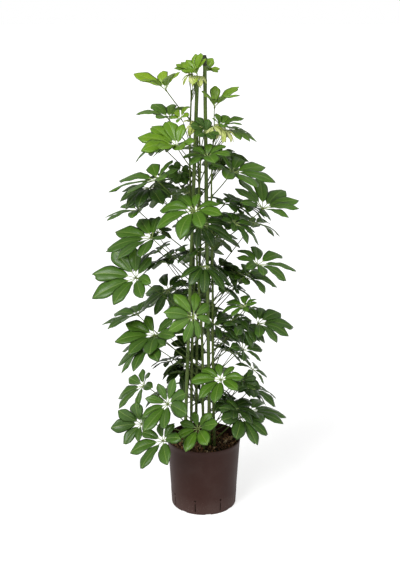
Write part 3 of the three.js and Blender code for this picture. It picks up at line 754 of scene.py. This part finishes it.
def floor_finish():
    """Plain pale floor with the faintest unevenness."""
    tree = Finish("pale_floor", 0.1)
    cloud = tree.noise(tree.place, 3)
    tree.surface.inputs["Emission Color"].default_value = (1, 1, 1, 1)
    tree.surface.inputs["Emission Strength"].default_value = FLOOR_GLOW
    return tree.dressed(tree.colours(cloud, *FLOOR_GREYS), 0.8 + cloud * 0.1)


# ---- leaves ----

BLADE_ROWS = (0, NECK_AT, 0.36, 0.52, 0.68, 0.84, 1)  # shares of a leaflet's length
BLADE_COLUMNS = (-1, -0.5, 0, 0.5, 1)  # from one edge to the other
OUTLINE_RISE = 0.62  # the blade widens from its stalk as this power of the way along,
OUTLINE_FALL = 0.72  # narrows again by this share towards the tip,
OUTLINE_LATE = 3.2  # as this power of the way,
OUTLINE_WIDEST = 0.7066  # and is divided by what these three give at the widest place
NOTCH = {"half width": 0.42, "aside": 0.4, "depth": 0.07, "sway": 0.04, "without": -0.1}
PUFF = 0.016  # how far the halves bulge between rib and edge
TIP_CURL = 0.035
NUMBERS_APART = 500  # keeps a leaflet's looks apart from the numbers that shape it


def blade_pattern():
    """One leaflet as a closed flat pouch. Its x is the share of the length, its y runs from edge
    to edge, and its z tells the upper skin, 1, from the lower, -1, with the rim between them."""
    shape = bmesh.new()
    rows, columns = len(BLADE_ROWS), len(BLADE_COLUMNS)
    skins = {}
    for skin in (1, -1):
        for i, along in enumerate(BLADE_ROWS):
            for j, across in enumerate(BLADE_COLUMNS):
                rim = i in (0, rows - 1) or j in (0, columns - 1)
                key = (i, j, 0 if rim else skin)
                if key not in skins:
                    skins[key] = shape.verts.new((along, across, key[2]))
    for skin in (1, -1):
        for i in range(rows - 1):
            for j in range(columns - 1):
                corners = []
                for a, b in ((i, j), (i + 1, j), (i + 1, j + 1), (i, j + 1)):
                    rim = a in (0, rows - 1) or b in (0, columns - 1)
                    corners.append(skins[(a, b, 0 if rim else skin)])
                shape.faces.new(corners[::skin])
    return mesh_from("blade_pattern", shape)


def foliage_growth(settings, pattern, material):
    """Sets a blade on every seed and bends it along the seed's own rib."""
    tree = Growth("foliage_growth")
    blade = tree.input("Blade", pattern, "Object")
    detail = tree.input("Detail", settings.detail, "Int")
    neck = tree.input("Leaflet stalk radius", settings.neck_radius)
    thickness = tree.input("Blade thickness", settings.thickness)
    rib_depth = tree.input("Rib depth", settings.rib_depth)
    roundness = tree.input("Tip roundness", settings.roundness)
    ripple = tree.input("Edge ripple", settings.ripple)
    blades = tree.instances(tree.seed, blade)
    fine = tree.node("GeometryNodeSubdivideMesh", values={"Mesh": blades, "Level": detail})
    marked = tree.store(fine, "blade", tree.node("GeometryNodeInputPosition"))

    along, across, skin = tree.parts(tree.attribute("blade"))
    hub, ahead, sag, side = [tree.attribute(name) for name in ("hub", "ahead", "sag", "side")]
    length, half, lean = tree.parts(tree.attribute("size"))
    left_wave, right_wave, curl = tree.parts(tree.attribute("rims"))
    notch_place, notch_depth, phase = tree.parts(tree.attribute("tip"))

    aside = abs(across)
    hand = tree.maths("SIGN", across)
    share = tree.most((along - NECK_AT) / (1 - NECK_AT), 0)
    narrowing = tree.maths("SQRT", 1 - OUTLINE_FALL * share**OUTLINE_LATE)
    outline = share**OUTLINE_RISE * narrowing / OUTLINE_WIDEST
    notch = tree.most(1 - abs(across - notch_place) / NOTCH["half width"], 0) ** 1.4
    notch = notch * notch_depth * share**6
    reach = share * (1 - roundness * aside**1.7 - notch)
    t = tree.least(along, NECK_AT) + reach * (1 - NECK_AT)

    to_right = hand * 0.5 + 0.5
    wave = left_wave * (1 - to_right) + right_wave * to_right
    edge = aside**1.6
    hump = tree.maths("SINE", share**1.6 * math.pi)
    lifted = edge * (KEEL * tree.least(share * 4, 1) * (1 - share**3) + wave * hump)
    swell = share * (1 - share) * 4
    rippled = edge * ripple * swell * tree.wave(share * 1.9 + phase + hand * 0.3)
    puffed = PUFF * swell * tree.maths("SINE", aside * math.pi)
    raised = (lifted + rippled + puffed - curl * share**4) * length

    blending = tree.smooth(share, 0, 0.12)
    tube = neck * tree.maths("SQRT", 1 - across * across)
    flat = thickness * (1 - aside**4)
    body = (tube * (1 - blending) + flat * blending) * tree.least((1 - share) * 12, 1)
    rib = tree.most(1 - aside * 6, 0) * rib_depth * blending * (1 - share)
    lower = tree.most(tree.maths("SIGN", skin) * -1, 0)
    offset = tree.maths("SIGN", skin) * body - lower * rib

    width = neck * (1 - share) ** 2 + half * outline
    out = width * hand * aside**1.3 + lean * half * share**3
    facing = tree.vector("NORMALIZE", tree.vector("CROSS_PRODUCT", ahead + sag * (2 * t), side))
    place = hub + ahead * (length * t) + sag * (length * t * t)
    place = place + side * out + facing * (raised + offset)
    bent = tree.node("GeometryNodeSetPosition", values={"Geometry": marked, "Position": place})
    tree.finish(bent, material)
    return tree


def leaflet_seeds(name, numbered_leaves):
    """One loose point for each leaflet of a stem, carrying how that leaflet runs and looks."""
    runs = {key: [] for key in ("hub", "ahead", "sag", "side", "size", "rims", "tip", "looks")}
    for leaf_number, it in numbered_leaves:
        for number in range(it.leaflets):
            run = leaflet_run(it, leaf_number, number)

            def draw(kind):
                return sway(leaf_number + NUMBERS_APART, 10 * number + kind)

            run["rims"].z = TIP_CURL * (1 + draw(1))
            depth = (NOTCH["depth"] + NOTCH["sway"] * draw(4)) * (draw(2) > NOTCH["without"])
            run["tip"] = Vector((NOTCH["aside"] * draw(3), depth, draw(5)))
            run["looks"] = Vector((it.age_and_shade, draw(6), sway(leaf_number, 7)))
            for key, value in run.items():
                runs[key].append(value)
    return points_mesh(name, [(0, 0, 0)] * len(runs["hub"]), **runs)


# ---- stems and stalks ----

STEM_STEP = 4  # millimetres between two rings of a stem
STALK_STEPS = 26
SCAR_SPACING = 31  # between two leaf scars, lower on the stem
SCAR_COUNT = 60
SCAR_WIDTH = 2.4  # millimetres along the stem
SCAR_SWELLING = 0.16  # share of the stem's radius
WOODY_BELOW = 760  # the bark fades out up to this height
FOOT_RUN = 7  # how far a stalk's clasping foot reaches along it
KNOB_RUN = 5  # and the knob under its leaf
KNOB_END = ((0.9, 1.25), (1.5, 0.7))  # the knob's last two rings: how far up, and how thick
STALK_TAPER = (1.08, 0.82)  # a stalk's thickness at its two ends, as shares of its middle one
PLAIN = (0, 0, 0)  # the looks of a point with nothing special


def swelling(distance, width):
    """1 at the middle of a swelling, and fading out over its width."""
    return math.exp(-((distance / width) ** 2))


def stem_chain(path, leaves, settings):
    """A stem's points with radius and looks: swollen, pale rings where leaves were."""
    foot = path[0]
    count = round((path[-1][2] - foot[2]) / STEM_STEP)
    scars = [stalk_points(path, it, 2)[0].z for it in leaves]
    scars += [foot[2] + SCAR_SPACING * (i + 0.3 * sway(i, foot[0])) for i in range(SCAR_COUNT)]
    chain = []
    for i in range(count + 1):
        share = i / count
        point = catmull_rom(path, share)
        scar = swelling(min(abs(point.z - height) for height in scars), SCAR_WIDTH)
        radius = lerp(settings.foot_radius, settings.tip_radius, share) * (1 + SCAR_SWELLING * scar)
        woody = max(0, 1 - point.z / WOODY_BELOW)
        chain.append((point * MM, radius, (woody, scar * (0.4 + 0.6 * woody), share**2)))
    return chain


def stalk_chain(path, it, settings):
    """A leaf stalk's points: a clasping foot on the stem, a long thin run, and a knob at the hub."""
    points = stalk_points(path, it, STALK_STEPS)
    length = (points[-1] - points[0]).length
    thick = settings.stalk_radius * min(1, 0.45 + it.reach / 180)
    # A stalk follows its leaf's age and painted shade, so the stalk of a leaf given painted shade is
    # painted less fresh.
    freshness = max(0, 0.75 - it.age_and_shade)
    chain = []
    for i, point in enumerate(points):
        share = i / STALK_STEPS
        knob = swelling(length - share * length, KNOB_RUN)
        radius = thick * (lerp(*STALK_TAPER, share) + 0.9 * swelling(share * length, FOOT_RUN) + knob)
        looks = (0.25 * (1 - share), knob * 0.8, (freshness + share**4) * 0.7)
        chain.append((point * MM, radius, looks))
    for rise, wide in KNOB_END:
        chain.append((it.hub * MM + leaf_frame(it)[0] * thick * rise, thick * wide, (0, 0.9, 1)))
    return chain


def chains_mesh(name, chains):
    """Chains of points as one mesh of edges, each point with its radius and looks."""
    points, edges, thick, looks = [], [], [], []
    for chain in chains:
        start = len(points)
        for place, radius, look in chain:
            points.append(place)
            thick.append((radius, 0, 0))
            looks.append(look)
        edges += [(i, i + 1) for i in range(start, len(points) - 1)]
    return points_mesh(name, points, edges, thick=thick, looks=looks)


def tube_growth(name, sides, material):
    """Round tubes along every chain of points, as thick as each point says."""
    tree = Growth(name)
    around = tree.input("Sides", sides, "Int")
    curve = tree.node("GeometryNodeMeshToCurve", values={"Mesh": tree.seed})
    circle = tree.node("GeometryNodeCurvePrimitiveCircle", values={"Resolution": around, "Radius": 1})
    thick = tree.parts(tree.attribute("thick"))[0]
    values = {"Curve": curve, "Profile Curve": circle, "Scale": thick, "Fill Caps": True}
    tree.finish(tree.node("GeometryNodeCurveToMesh", values=values), material)
    return tree


# ---- pot and granules ----

POT_HEIGHT = 0.2
RIM_RADIUS = 0.105
FOOT_RADIUS = 0.093
FOOT_RING_INSIDE = 0.086
BOSS_RADIUS = 0.014  # the flat boss in the middle of the underside
EDGE = 0.0006  # how far the boss's edge is cut back
BREAK = 0.0004  # and the foot ring's inner edge
FOOT_ROUNDING = 0.0016
RECESS = 0.003  # height of the underside between boss and foot ring
FLOOR_TOP = 0.006
LOWER_INSET = 0.0002  # how far the wall stands inside the plain cone, low down,
UPPER_INSET = 0.0008  # and above a small step,
STEP = (0.046, 0.049)  # which lies between these heights
LOWER_RINGS = (0.006, 0.018, 0.03, 0.042)  # heights of the profile's points below the step,
UPPER_RINGS = (STEP[1], 0.07, 0.1, 0.13, 0.16, 0.18)  # above it,
INNER_RINGS = (0.188, 0.15, 0.1, 0.05, 0.012)  # and down the inside of the wall
DRAIN_COUNT = 8
DRAIN_PHASE = math.radians(-105)
DRAIN_SLOT = (0.008, 0.034)  # heights of a slot's ends
HOLE_HEIGHT = 0.042
NOTCH_WIDTH = 0.018
NOTCH_HEIGHT = 0.0024
CUT_FROM = 0.078  # the cutters reach from this radius,
CUT_TO = 0.11  # inside the wall, to this one outside it
SOIL_LEVEL = 0.178
SOIL_BELOW = 0.004  # how far the packed clay lies below the loose pebbles' level
PEBBLES_PER_AREA = 60000.0
PEBBLE_DEPTHS = (-0.0045, 0.002)
PEBBLE_CLEARANCE = 0.8  # from stems and stakes, as a share of its size
PEBBLE_TURNS = ((0, 0, 0), (6.3, 6.3, 6.3))  # a full turn about each axis
PEBBLE_SIZES = ((0.75, 0.7, 0.6), (1.25, 1.15, 1.0))  # least and most, as shares of the size
PEBBLE_LUMPS = 0.7  # how lumpy a pebble is, as a share of its size


def outer_radius(height):
    return lerp(FOOT_RADIUS, RIM_RADIUS, height / POT_HEIGHT)


def arc(centre, radius, start, end, steps):
    """Points of a small arc in the profile, from one angle to another, in degrees."""
    found = []
    for i in range(steps + 1):
        angle = math.radians(lerp(start, end, i / steps))
        found.append((centre[0] + radius * math.cos(angle), centre[1] + radius * math.sin(angle)))
    return found


def pot_profile(settings):
    """The pot's section, from the middle of its underside round to the middle of its floor."""
    band = POT_HEIGHT - settings.band_height
    lip = settings.wall / 2
    top = outer_radius(POT_HEIGHT)
    inner = settings.wall + settings.band_proud
    rounding = (FOOT_RADIUS - FOOT_ROUNDING, FOOT_ROUNDING)
    boss = [(0, 0), (BOSS_RADIUS - EDGE, 0), (BOSS_RADIUS, EDGE), (BOSS_RADIUS + EDGE, RECESS)]
    recess = [(0.055, RECESS), (FOOT_RING_INSIDE - RECESS / 2, RECESS)]
    ring = [(FOOT_RING_INSIDE, RECESS - 2 * BREAK), (FOOT_RING_INSIDE, BREAK)]
    profile = boss + recess + ring + [(FOOT_RING_INSIDE + BREAK, 0)]
    profile += arc(rounding, FOOT_ROUNDING, -90, -8, 4)
    profile += [(outer_radius(h) - LOWER_INSET, h) for h in LOWER_RINGS]
    profile += [(outer_radius(STEP[0]) - (LOWER_INSET + UPPER_INSET) / 2, STEP[0])]
    profile += [(outer_radius(h) - UPPER_INSET, h) for h in UPPER_RINGS]
    profile += [(outer_radius(band) - UPPER_INSET, band - UPPER_INSET)]
    profile += [(outer_radius(band) - 0.0001, band + EDGE), (outer_radius(band + 0.004), band + 0.004)]
    profile += arc((top - lip, POT_HEIGHT - lip), lip, 0, 180, 8)
    profile += [(outer_radius(h) - inner, h) for h in INNER_RINGS]
    profile += [(outer_radius(0.008) - inner - 0.001, 0.008)]
    profile += [(outer_radius(FLOOR_TOP) - inner - 0.004, FLOOR_TOP)]
    return profile + [(0.04, FLOOR_TOP), (0, FLOOR_TOP)]


def lathe(name, profile, sides):
    """A closed solid of revolution about Z. Its profile starts and ends on the axis."""
    shape = bmesh.new()
    rings = []
    for radius, height in profile:
        if radius == 0:
            rings.append([shape.verts.new((0, 0, height))] * sides)
        else:
            turns = [compass(360 * k / sides) * radius + UP * height for k in range(sides)]
            rings.append([shape.verts.new(corner) for corner in turns])
    for low, high in zip(rings, rings[1:]):
        for k in range(sides):
            n = (k + 1) % sides
            shape.faces.new(list(dict.fromkeys((low[k], low[n], high[n], high[k]))))
    bmesh.ops.recalc_face_normals(shape, faces=shape.faces)
    return object_from(name, mesh_from(name, shape))


def prism(shape, outline, angle, near):
    """Adds a cutter that pushes an outline, in width and height, out through the wall."""
    out = Vector((math.cos(angle), math.sin(angle), 0))
    aside = UP.cross(out)
    ends = []
    for reach in (near, CUT_TO):
        ends.append([shape.verts.new(out * reach + aside * w + UP * h) for w, h in outline])
    shape.faces.new(ends[0])
    shape.faces.new(ends[1][::-1])
    for k in range(len(outline)):
        n = (k + 1) % len(outline)
        shape.faces.new((ends[0][n], ends[0][k], ends[1][k], ends[1][n]))


def pot_cutters(settings):
    """The slots, the round holes over them and the notches in the foot, as one cutter."""
    shape = bmesh.new()
    half = settings.slot_width / 2
    low, high = DRAIN_SLOT
    slot = arc((0, high - half), half, 0, 180, 6) + arc((0, low + half), half, 180, 360, 6)
    hole = arc((0, HOLE_HEIGHT), settings.hole_radius, 0, 337.5, 15)
    wide, narrow = NOTCH_WIDTH / 2, NOTCH_WIDTH / 3
    side = [(wide, -0.002), (wide, NOTCH_HEIGHT / 3), (narrow, NOTCH_HEIGHT)]
    notch = side + [(-w, h) for w, h in side[::-1]]
    for i in range(DRAIN_COUNT):
        angle = DRAIN_PHASE + 2 * math.pi * i / DRAIN_COUNT
        prism(shape, slot, angle, CUT_FROM)
        prism(shape, hole, angle, CUT_FROM)
        prism(shape, notch, angle + math.pi / DRAIN_COUNT, CUT_FROM + 0.002)
    bmesh.ops.recalc_face_normals(shape, faces=shape.faces)
    return object_from("pot_cutters", mesh_from("pot_cutters", shape))


def applied(piece):
    """Turns a piece's modifiers into its mesh."""
    depsgraph = bpy.context.evaluated_depsgraph_get()
    mesh = bpy.data.meshes.new_from_object(piece.evaluated_get(depsgraph), depsgraph=depsgraph)
    piece.modifiers.clear()
    piece.data = mesh
    return piece


def soften(piece, degrees):
    """Smooth shading, with an edge left sharp where two faces meet at more than an angle."""
    piece.data.polygons.foreach_set("use_smooth", [True] * len(piece.data.polygons))
    piece.data.set_sharp_from_angle(angle=math.radians(degrees))


def granule_growth(settings, pattern, posts, material):
    """Pebbles strewn over a disc, none of them in a stem or a stake, each turned its own way."""
    tree = Growth("granule_growth")
    pebble = tree.input("Pebble", pattern, "Object")
    size = tree.input("Size", settings.size)
    spacing = tree.input("Spacing", settings.spacing)
    density = tree.input("Density", PEBBLES_PER_AREA)
    seed = tree.input("Seed", settings.seed, "Int")
    values = {"Mesh": tree.seed, "Distance Min": spacing, "Density Max": density, "Seed": seed}
    strewn = tree.node("GeometryNodeDistributePointsOnFaces", {"distribute_method": "POISSON"}, values)
    place = tree.node("GeometryNodeInputPosition")
    flat = tree.vector("MULTIPLY", place, (1, 1, 0))
    taken = 0
    for x, y, radius in posts:
        gap = tree.vector("DISTANCE", flat, (x, y, 0), output=1) - radius
        taken = tree.most(taken, tree.maths("LESS_THAN", gap, size * PEBBLE_CLEARANCE))
    clear = tree.node("GeometryNodeDeleteGeometry", values={"Geometry": strewn, "Selection": taken})

    def random(low, high, draw):
        """A random number or vector for each pebble."""
        kind, start, output = ("FLOAT_VECTOR", 0, 0) if tree.is_vector(low) else ("FLOAT", 2, 1)
        values = {start: low, start + 1: high, "Seed": draw}
        return tree.node("FunctionNodeRandomValue", {"data_type": kind}, values, output)

    coloured = tree.store(clear, "looks", random((0, 0, 0), (1, 1, 1), 11))
    drop = tree.node("ShaderNodeCombineXYZ", values={2: random(*PEBBLE_DEPTHS, 12)})
    settled = tree.node("GeometryNodeSetPosition", values={"Geometry": coloured, "Offset": drop})
    turned = tree.node("FunctionNodeEulerToRotation", values={0: random(*PEBBLE_TURNS, 13)})
    real = tree.instances(settled, pebble, Rotation=turned, Scale=random(*PEBBLE_SIZES, 14) * size)
    values = {"Vector": place, "Scale": 190.0, "Detail": 1.0}
    lumps = tree.node("ShaderNodeTexNoise", values=values, output="Color")
    values = {"Geometry": real, "Offset": (lumps - (0.5, 0.5, 0.5)) * (size * PEBBLE_LUMPS)}
    tree.finish(tree.node("GeometryNodeSetPosition", values=values), material)
    return tree


def pebble_pattern():
    """A plain round pebble of unit radius with a few dozen faces."""
    shape = bmesh.new()
    bmesh.ops.create_uvsphere(shape, u_segments=8, v_segments=6, radius=1)
    return object_from("pebble_pattern", mesh_from("pebble_pattern", shape))


def granule_profile(pot):
    """The section of the packed clay under the loose pebbles: a little lower at the wall."""
    top = SOIL_LEVEL - SOIL_BELOW
    inner = pot.wall + pot.band_proud + 0.0005
    profile = [(0, 0.0065)] + [(outer_radius(h) - inner, h) for h in (0.0125, 0.09, 0.168)]
    return profile + [(outer_radius(top) - inner, top - 0.003), (0.07, top), (0.03, top), (0, top)]


# ---- settings ----


def length_setting(name, description, default, low, high):
    """A length in metres."""
    return FloatProperty(
        name=name, description=description, default=default, min=low, max=high,
        precision=4, subtype="DISTANCE", unit="LENGTH",
    )


def share_setting(name, description, default, high=1):
    return FloatProperty(
        name=name, description=description, default=default, min=0, max=high, subtype="FACTOR",
    )


def colour_setting(name, description, default):
    return FloatVectorProperty(
        name=name, description=description, default=default, min=0, max=1, subtype="COLOR",
    )


def strength_setting(name, description, default):
    return FloatProperty(name=name, description=description, default=default, min=0, max=20)


def count_setting(name, description, default, low, high):
    return IntProperty(name=name, description=description, default=default, min=low, max=high)


class PotSettings(bpy.types.PropertyGroup):
    """Sizes and colour of the pot."""

    wall: length_setting("Wall", "Thickness of the pot's wall", 0.0026, 0.001, 0.005)
    band_height: length_setting("Rim band height", "Height of the band round the rim", 0.009, 0.003, 0.02)
    band_proud: length_setting("Rim band proud", "How far the band stands out", 0.0008, 0, 0.002)
    slot_width: length_setting("Slot width", "Width of the drain slots", 0.0032, 0.001, 0.006)
    hole_radius: length_setting("Hole radius", "Radius of the hole over each slot", 0.003, 0.001, 0.005)
    sides: count_setting("Sides", "Flat sides round the pot", 144, 40, 256)
    colour: colour_setting("Colour", "Colour of the moulded plastic", (0.026, 0.0082, 0.0055))
    roughness: share_setting("Roughness", "How matt the plastic is", 0.5)


class GranuleSettings(bpy.types.PropertyGroup):
    """Sizes of the clay granules."""

    size: length_setting("Granule radius", "Middle radius of a granule", 0.0048, 0.002, 0.01)
    spacing: length_setting("Spacing", "Least distance between two granules' middles", 0.0064, 0.003, 0.02)
    seed: count_setting("Seed", "Picks another strewing of the granules", 7, 0, 1000)


class StakeSettings(bpy.types.PropertyGroup):
    """Sizes and colour of the stakes."""

    radius: length_setting("Radius", "Radius of a stake", STAKE_RADIUS * MM, 0.002, 0.01)
    colour: colour_setting("Colour", "Colour of the coating", (0.118, 0.178, 0.036))


class StemSettings(bpy.types.PropertyGroup):
    """Sizes of the stems and leaf stalks."""

    foot_radius: length_setting("Stem radius", "Radius of a stem at its foot", 0.0046, 0.002, 0.01)
    tip_radius: length_setting("Tip radius", "Radius of a stem at its tip", 0.0019, 0.001, 0.005)
    stalk_radius: length_setting("Stalk radius", "Radius of a leaf stalk", 0.0015, 0.0005, 0.004)


class FoliageSettings(bpy.types.PropertyGroup):
    """Sizes and colours of the leaflets."""

    neck_radius: length_setting("Leaflet stalk", "Radius of a leaflet's own stalk", 0.0011, 0.0005, 0.003)
    thickness: length_setting("Blade thickness", "Half the thickness of a blade", 0.0003, 0.0001, 0.002)
    rib_depth: length_setting("Rib depth", "How far the midrib stands out below", 0.0007, 0, 0.002)
    roundness: share_setting("Tip roundness", "How far a blade's corners fall back from its tip", 0.22, 0.5)
    ripple: share_setting("Ripple", "How far the edges ripple, as a share of the length", 0.012, 0.1)
    detail: count_setting("Detail", "Times that a blade's faces are divided", 1, 0, 2)
    vein_rows: count_setting("Side veins", "Side veins on each half of a blade", 9, 3, 20)
    roughness: share_setting("Roughness", "How matt the waxy upper side is", 0.34)
    hub_colour: colour_setting("Hub colour", "Colour where the leaflets meet", (0.26, 0.34, 0.09))
    stalk_tip_colour: colour_setting("Leaflet stalk colour", "Colour of their stalks", (0.36, 0.44, 0.17))


class StageSettings(bpy.types.PropertyGroup):
    """Camera and light."""

    lens: FloatProperty(name="Lens", description="Focal length in millimetres", default=61.5, min=10)
    tilt: FloatProperty(
        name="Tilt", description="How far the camera looks down",
        default=math.radians(15.9), min=0, max=math.radians(89), subtype="ANGLE", unit="ROTATION",
    )
    key: strength_setting("Key light", "Strength of the light from the upper left", 3.2)
    fill: strength_setting("Fill light", "Strength of the light from the right", 0.9)
    sky: strength_setting("Room light", "Strength of the light from all round", 0.36)


# ---- operators ----

STAKE_STEPS = 60
STAKE_WAVER = 0.012  # how unevenly thick a stake is
STAKE_ENDS = {"foot": 0.7, "shoulder": 0.92, "tip": 0.6}  # thickness there, as a share
STAKE_SIDES = 24
CAP_LENGTH = 0.03  # of the right stake's dark cap
NO_CAP = 2  # a height above the whole plant
STEM_SIDES = 10

FLOOR_SIZE = 80
FLOOR_BELOW = 0.0005  # keeps the floor just clear of the foot
CAMERA_PLACE = (-0.0109, -2.571, 1.385)
KEY_LIGHT = {"turn": (52, 0, -38), "softness": 35}  # degrees
FILL_LIGHT = {"turn": (58, 0, 48), "softness": 45}


class PLANT_OT_pot(bpy.types.Operator):
    """Turn the pot, cut its slots, holes and foot notches, and finish it"""

    bl_idname = "plant.pot"
    bl_label = "Pot"

    def execute(self, context):
        settings = context.scene.plant_pot
        shell = lathe("pot_shell", pot_profile(settings), settings.sides)
        cutters = pot_cutters(settings)
        cut = shell.modifiers.new("cut", "BOOLEAN")
        cut.operation = "DIFFERENCE"
        cut.solver = "EXACT"
        cut.object = cutters
        applied(shell)
        bpy.data.objects.remove(cutters)
        soften(shell, 32)
        shell.data.materials.clear()
        shell.data.materials.append(pot_finish(settings))
        finished(shell, "pot_plastic", "pot")
        return {"FINISHED"}


class PLANT_OT_granules(bpy.types.Operator):
    """Fill the pot with clay and strew its top with granules"""

    bl_idname = "plant.granules"
    bl_label = "Clay granules"

    def execute(self, context):
        settings = context.scene.plant_granules
        pot = context.scene.plant_pot
        material = clay_finish()
        bed = lathe("clay_bed", granule_profile(pot), 64)
        soften(bed, 40)
        bed.data.materials.append(material)
        finished(bed, "fired_clay", "clay_granules")
        posts = [(x * MM, y * MM, STAKE_RADIUS * MM) for x, y, _ in stake_crossings()]
        foot = context.scene.plant_stems.foot_radius
        posts += [(x * MM, y * MM, foot) for x, y, _ in (it["path"][1] for it in STEMS.values())]
        pattern = pebble_pattern()
        reach = outer_radius(SOIL_LEVEL) - pot.wall - pot.band_proud - settings.size
        ground = disc("granule_ground", reach, 48, SOIL_LEVEL - 0.001)
        pebbles = granule_growth(settings, pattern, posts, material).grow("loose_granules", ground)
        bpy.data.objects.remove(pattern)
        finished(pebbles, "fired_clay", "clay_granules")
        return {"FINISHED"}


def stake_crossings():
    """Where each stake passes the top of the granules."""
    found = []
    for foot, top in STAKES.values():
        foot, top = Vector(foot), Vector(top)
        share = (SOIL_LEVEL / MM - foot.z) / (top.z - foot.z)
        found.append(foot.lerp(top, share))
    return found


class PLANT_OT_stakes(bpy.types.Operator):
    """Stand the two stakes in the granules"""

    bl_idname = "plant.stakes"
    bl_label = "Stakes"

    def execute(self, context):
        settings = context.scene.plant_stakes
        for name, (foot, top) in STAKES.items():
            foot, top = Vector(foot) * MM, Vector(top) * MM
            below_top = top - (top - foot).normalized() * 0.001
            chain = [(foot, settings.radius * STAKE_ENDS["foot"], PLAIN)]
            for i in range(STAKE_STEPS + 1):
                place = foot.lerp(top, lerp(0.001, 0.9975, i / STAKE_STEPS))
                radius = settings.radius * (1 + STAKE_WAVER * sway(i, foot.x))
                chain.append((place, radius, PLAIN))
            chain.append((below_top, settings.radius * STAKE_ENDS["shoulder"], PLAIN))
            chain.append((top, settings.radius * STAKE_ENDS["tip"], PLAIN))
            cap_from = top.z - CAP_LENGTH if name == "stake_right" else NO_CAP
            growth = tube_growth("stake_growth", STAKE_SIDES, stake_finish(settings, cap_from))
            rod = growth.grow(name + "_rod", chains_mesh(name + "_line", [chain]))
            finished(rod, "stake_plastic", name)
        return {"FINISHED"}


def leaves_by_stem():
    """Each stem's leaves with their numbers, which steer how each leaf differs from the rule."""
    numbers = itertools.count(1)
    found = {}
    for name, it in STEMS.items():
        found[name] = [(next(numbers), one) for one in it["leaves"]]
    for order, (name, it) in enumerate(STEMS.items(), 1):
        found[name] += inner_leaves(it["path"], 100 * order)
        found[name] += [(next(numbers), one) for one in UNFOLDING.get(name, [])]
    return found


class PLANT_OT_stems(bpy.types.Operator):
    """Grow the five stems with their leaf stalks"""

    bl_idname = "plant.stems"
    bl_label = "Stems and leaf stalks"

    def execute(self, context):
        settings = context.scene.plant_stems
        material = stalk_finish()
        for name, numbered in leaves_by_stem().items():
            path = STEMS[name]["path"]
            leaves = [it for _, it in numbered]
            chains = [stem_chain(path, leaves, settings)]
            chains += [stalk_chain(path, it, settings) for it in leaves]
            seeds = chains_mesh(name + "_lines", chains)
            wood = tube_growth("stem_growth", STEM_SIDES, material).grow(name + "_stalks", seeds)
            finished(wood, "foliage", name)
        return {"FINISHED"}


class PLANT_OT_foliage(bpy.types.Operator):
    """Grow the leaflets of every stem"""

    bl_idname = "plant.foliage"
    bl_label = "Leaves"

    def execute(self, context):
        settings = context.scene.plant_foliage
        material = leaf_finish(settings)
        pattern = object_from("blade_pattern", blade_pattern())
        growth = foliage_growth(settings, pattern, material)
        for name, numbered in leaves_by_stem().items():
            leaves = growth.grow(name + "_leaves", leaflet_seeds(name + "_seeds", numbered))
            finished(leaves, "foliage", name)
        bpy.data.objects.remove(pattern)
        return {"FINISHED"}


class PLANT_OT_stage(bpy.types.Operator):
    """Lay the pale floor and set up the soft light and the camera"""

    bl_idname = "plant.stage"
    bl_label = "Stage, light and camera"

    def execute(self, context):
        scene = context.scene
        settings = scene.plant_stage
        floor = object_from("floor", disc("floor", FLOOR_SIZE, 96, -FLOOR_BELOW))
        floor.data.materials.append(floor_finish())
        self.light("key_light", settings.key, **KEY_LIGHT)
        self.light("fill_light", settings.fill, **FILL_LIGHT)
        self.room(scene, settings.sky)
        scene.view_settings.view_transform = "Standard"
        camera = bpy.data.cameras.new("camera")
        camera.sensor_fit = "VERTICAL"
        camera.sensor_height = 36
        camera.lens = settings.lens
        camera.clip_end = 200
        holder = link(bpy.data.objects.new("camera", camera))
        holder.location = CAMERA_PLACE
        holder.rotation_euler = (math.pi / 2 - settings.tilt, 0, 0)
        scene.camera = holder
        return {"FINISHED"}

    @staticmethod
    def light(name, strength, turn, softness):
        lamp = bpy.data.lights.new(name, "SUN")
        lamp.energy = strength
        lamp.angle = math.radians(softness)
        holder = link(bpy.data.objects.new(name, lamp))
        holder.rotation_euler = [math.radians(angle) for angle in turn]

    @staticmethod
    def room(scene, strength):
        """White surroundings that look fully white and light the plant more gently."""
        world = scene.world or bpy.data.worlds.new("room")
        scene.world = world
        world.use_nodes = True
        tree = Tree(world.node_tree)
        background = world.node_tree.nodes["Background"]
        background.inputs["Color"].default_value = (1, 1, 1, 1)
        seen = tree.node("ShaderNodeLightPath")
        tree.feed(background.inputs["Strength"], seen * (1 - strength) + strength)


OPERATORS = (
    PLANT_OT_pot, PLANT_OT_granules, PLANT_OT_stakes, PLANT_OT_stems, PLANT_OT_foliage, PLANT_OT_stage,
)
SETTINGS = {
    "plant_pot": PotSettings,
    "plant_granules": GranuleSettings,
    "plant_stakes": StakeSettings,
    "plant_stems": StemSettings,
    "plant_foliage": FoliageSettings,
    "plant_stage": StageSettings,
}


class PLANT_PT_build(bpy.types.Panel):
    """Lists the plant's pieces with their settings."""

    bl_idname = "PLANT_PT_build"
    bl_label = "Potted umbrella plant"
    bl_space_type = "VIEW_3D"
    bl_region_type = "UI"
    bl_category = "Umbrella plant"

    def draw(self, context):
        for operator, name in zip(OPERATORS, SETTINGS):
            box = self.layout.box()
            box.operator(operator.bl_idname)
            for key in SETTINGS[name].__annotations__:
                box.prop(getattr(context.scene, name), key)


CLASSES = (*SETTINGS.values(), *OPERATORS, PLANT_PT_build)


def register():
    for made in CLASSES:
        bpy.utils.register_class(made)
    for name, group in SETTINGS.items():
        setattr(bpy.types.Scene, name, PointerProperty(type=group))


def unregister():
    for name in SETTINGS:
        delattr(bpy.types.Scene, name)
    for made in reversed(CLASSES):
        bpy.utils.unregister_class(made)


def main():
    register()
    bpy.ops.plant.pot()
    bpy.ops.plant.granules()
    bpy.ops.plant.stakes()
    bpy.ops.plant.stems()
    bpy.ops.plant.foliage()
    bpy.ops.plant.stage()


if __name__ == "__main__":
    main()
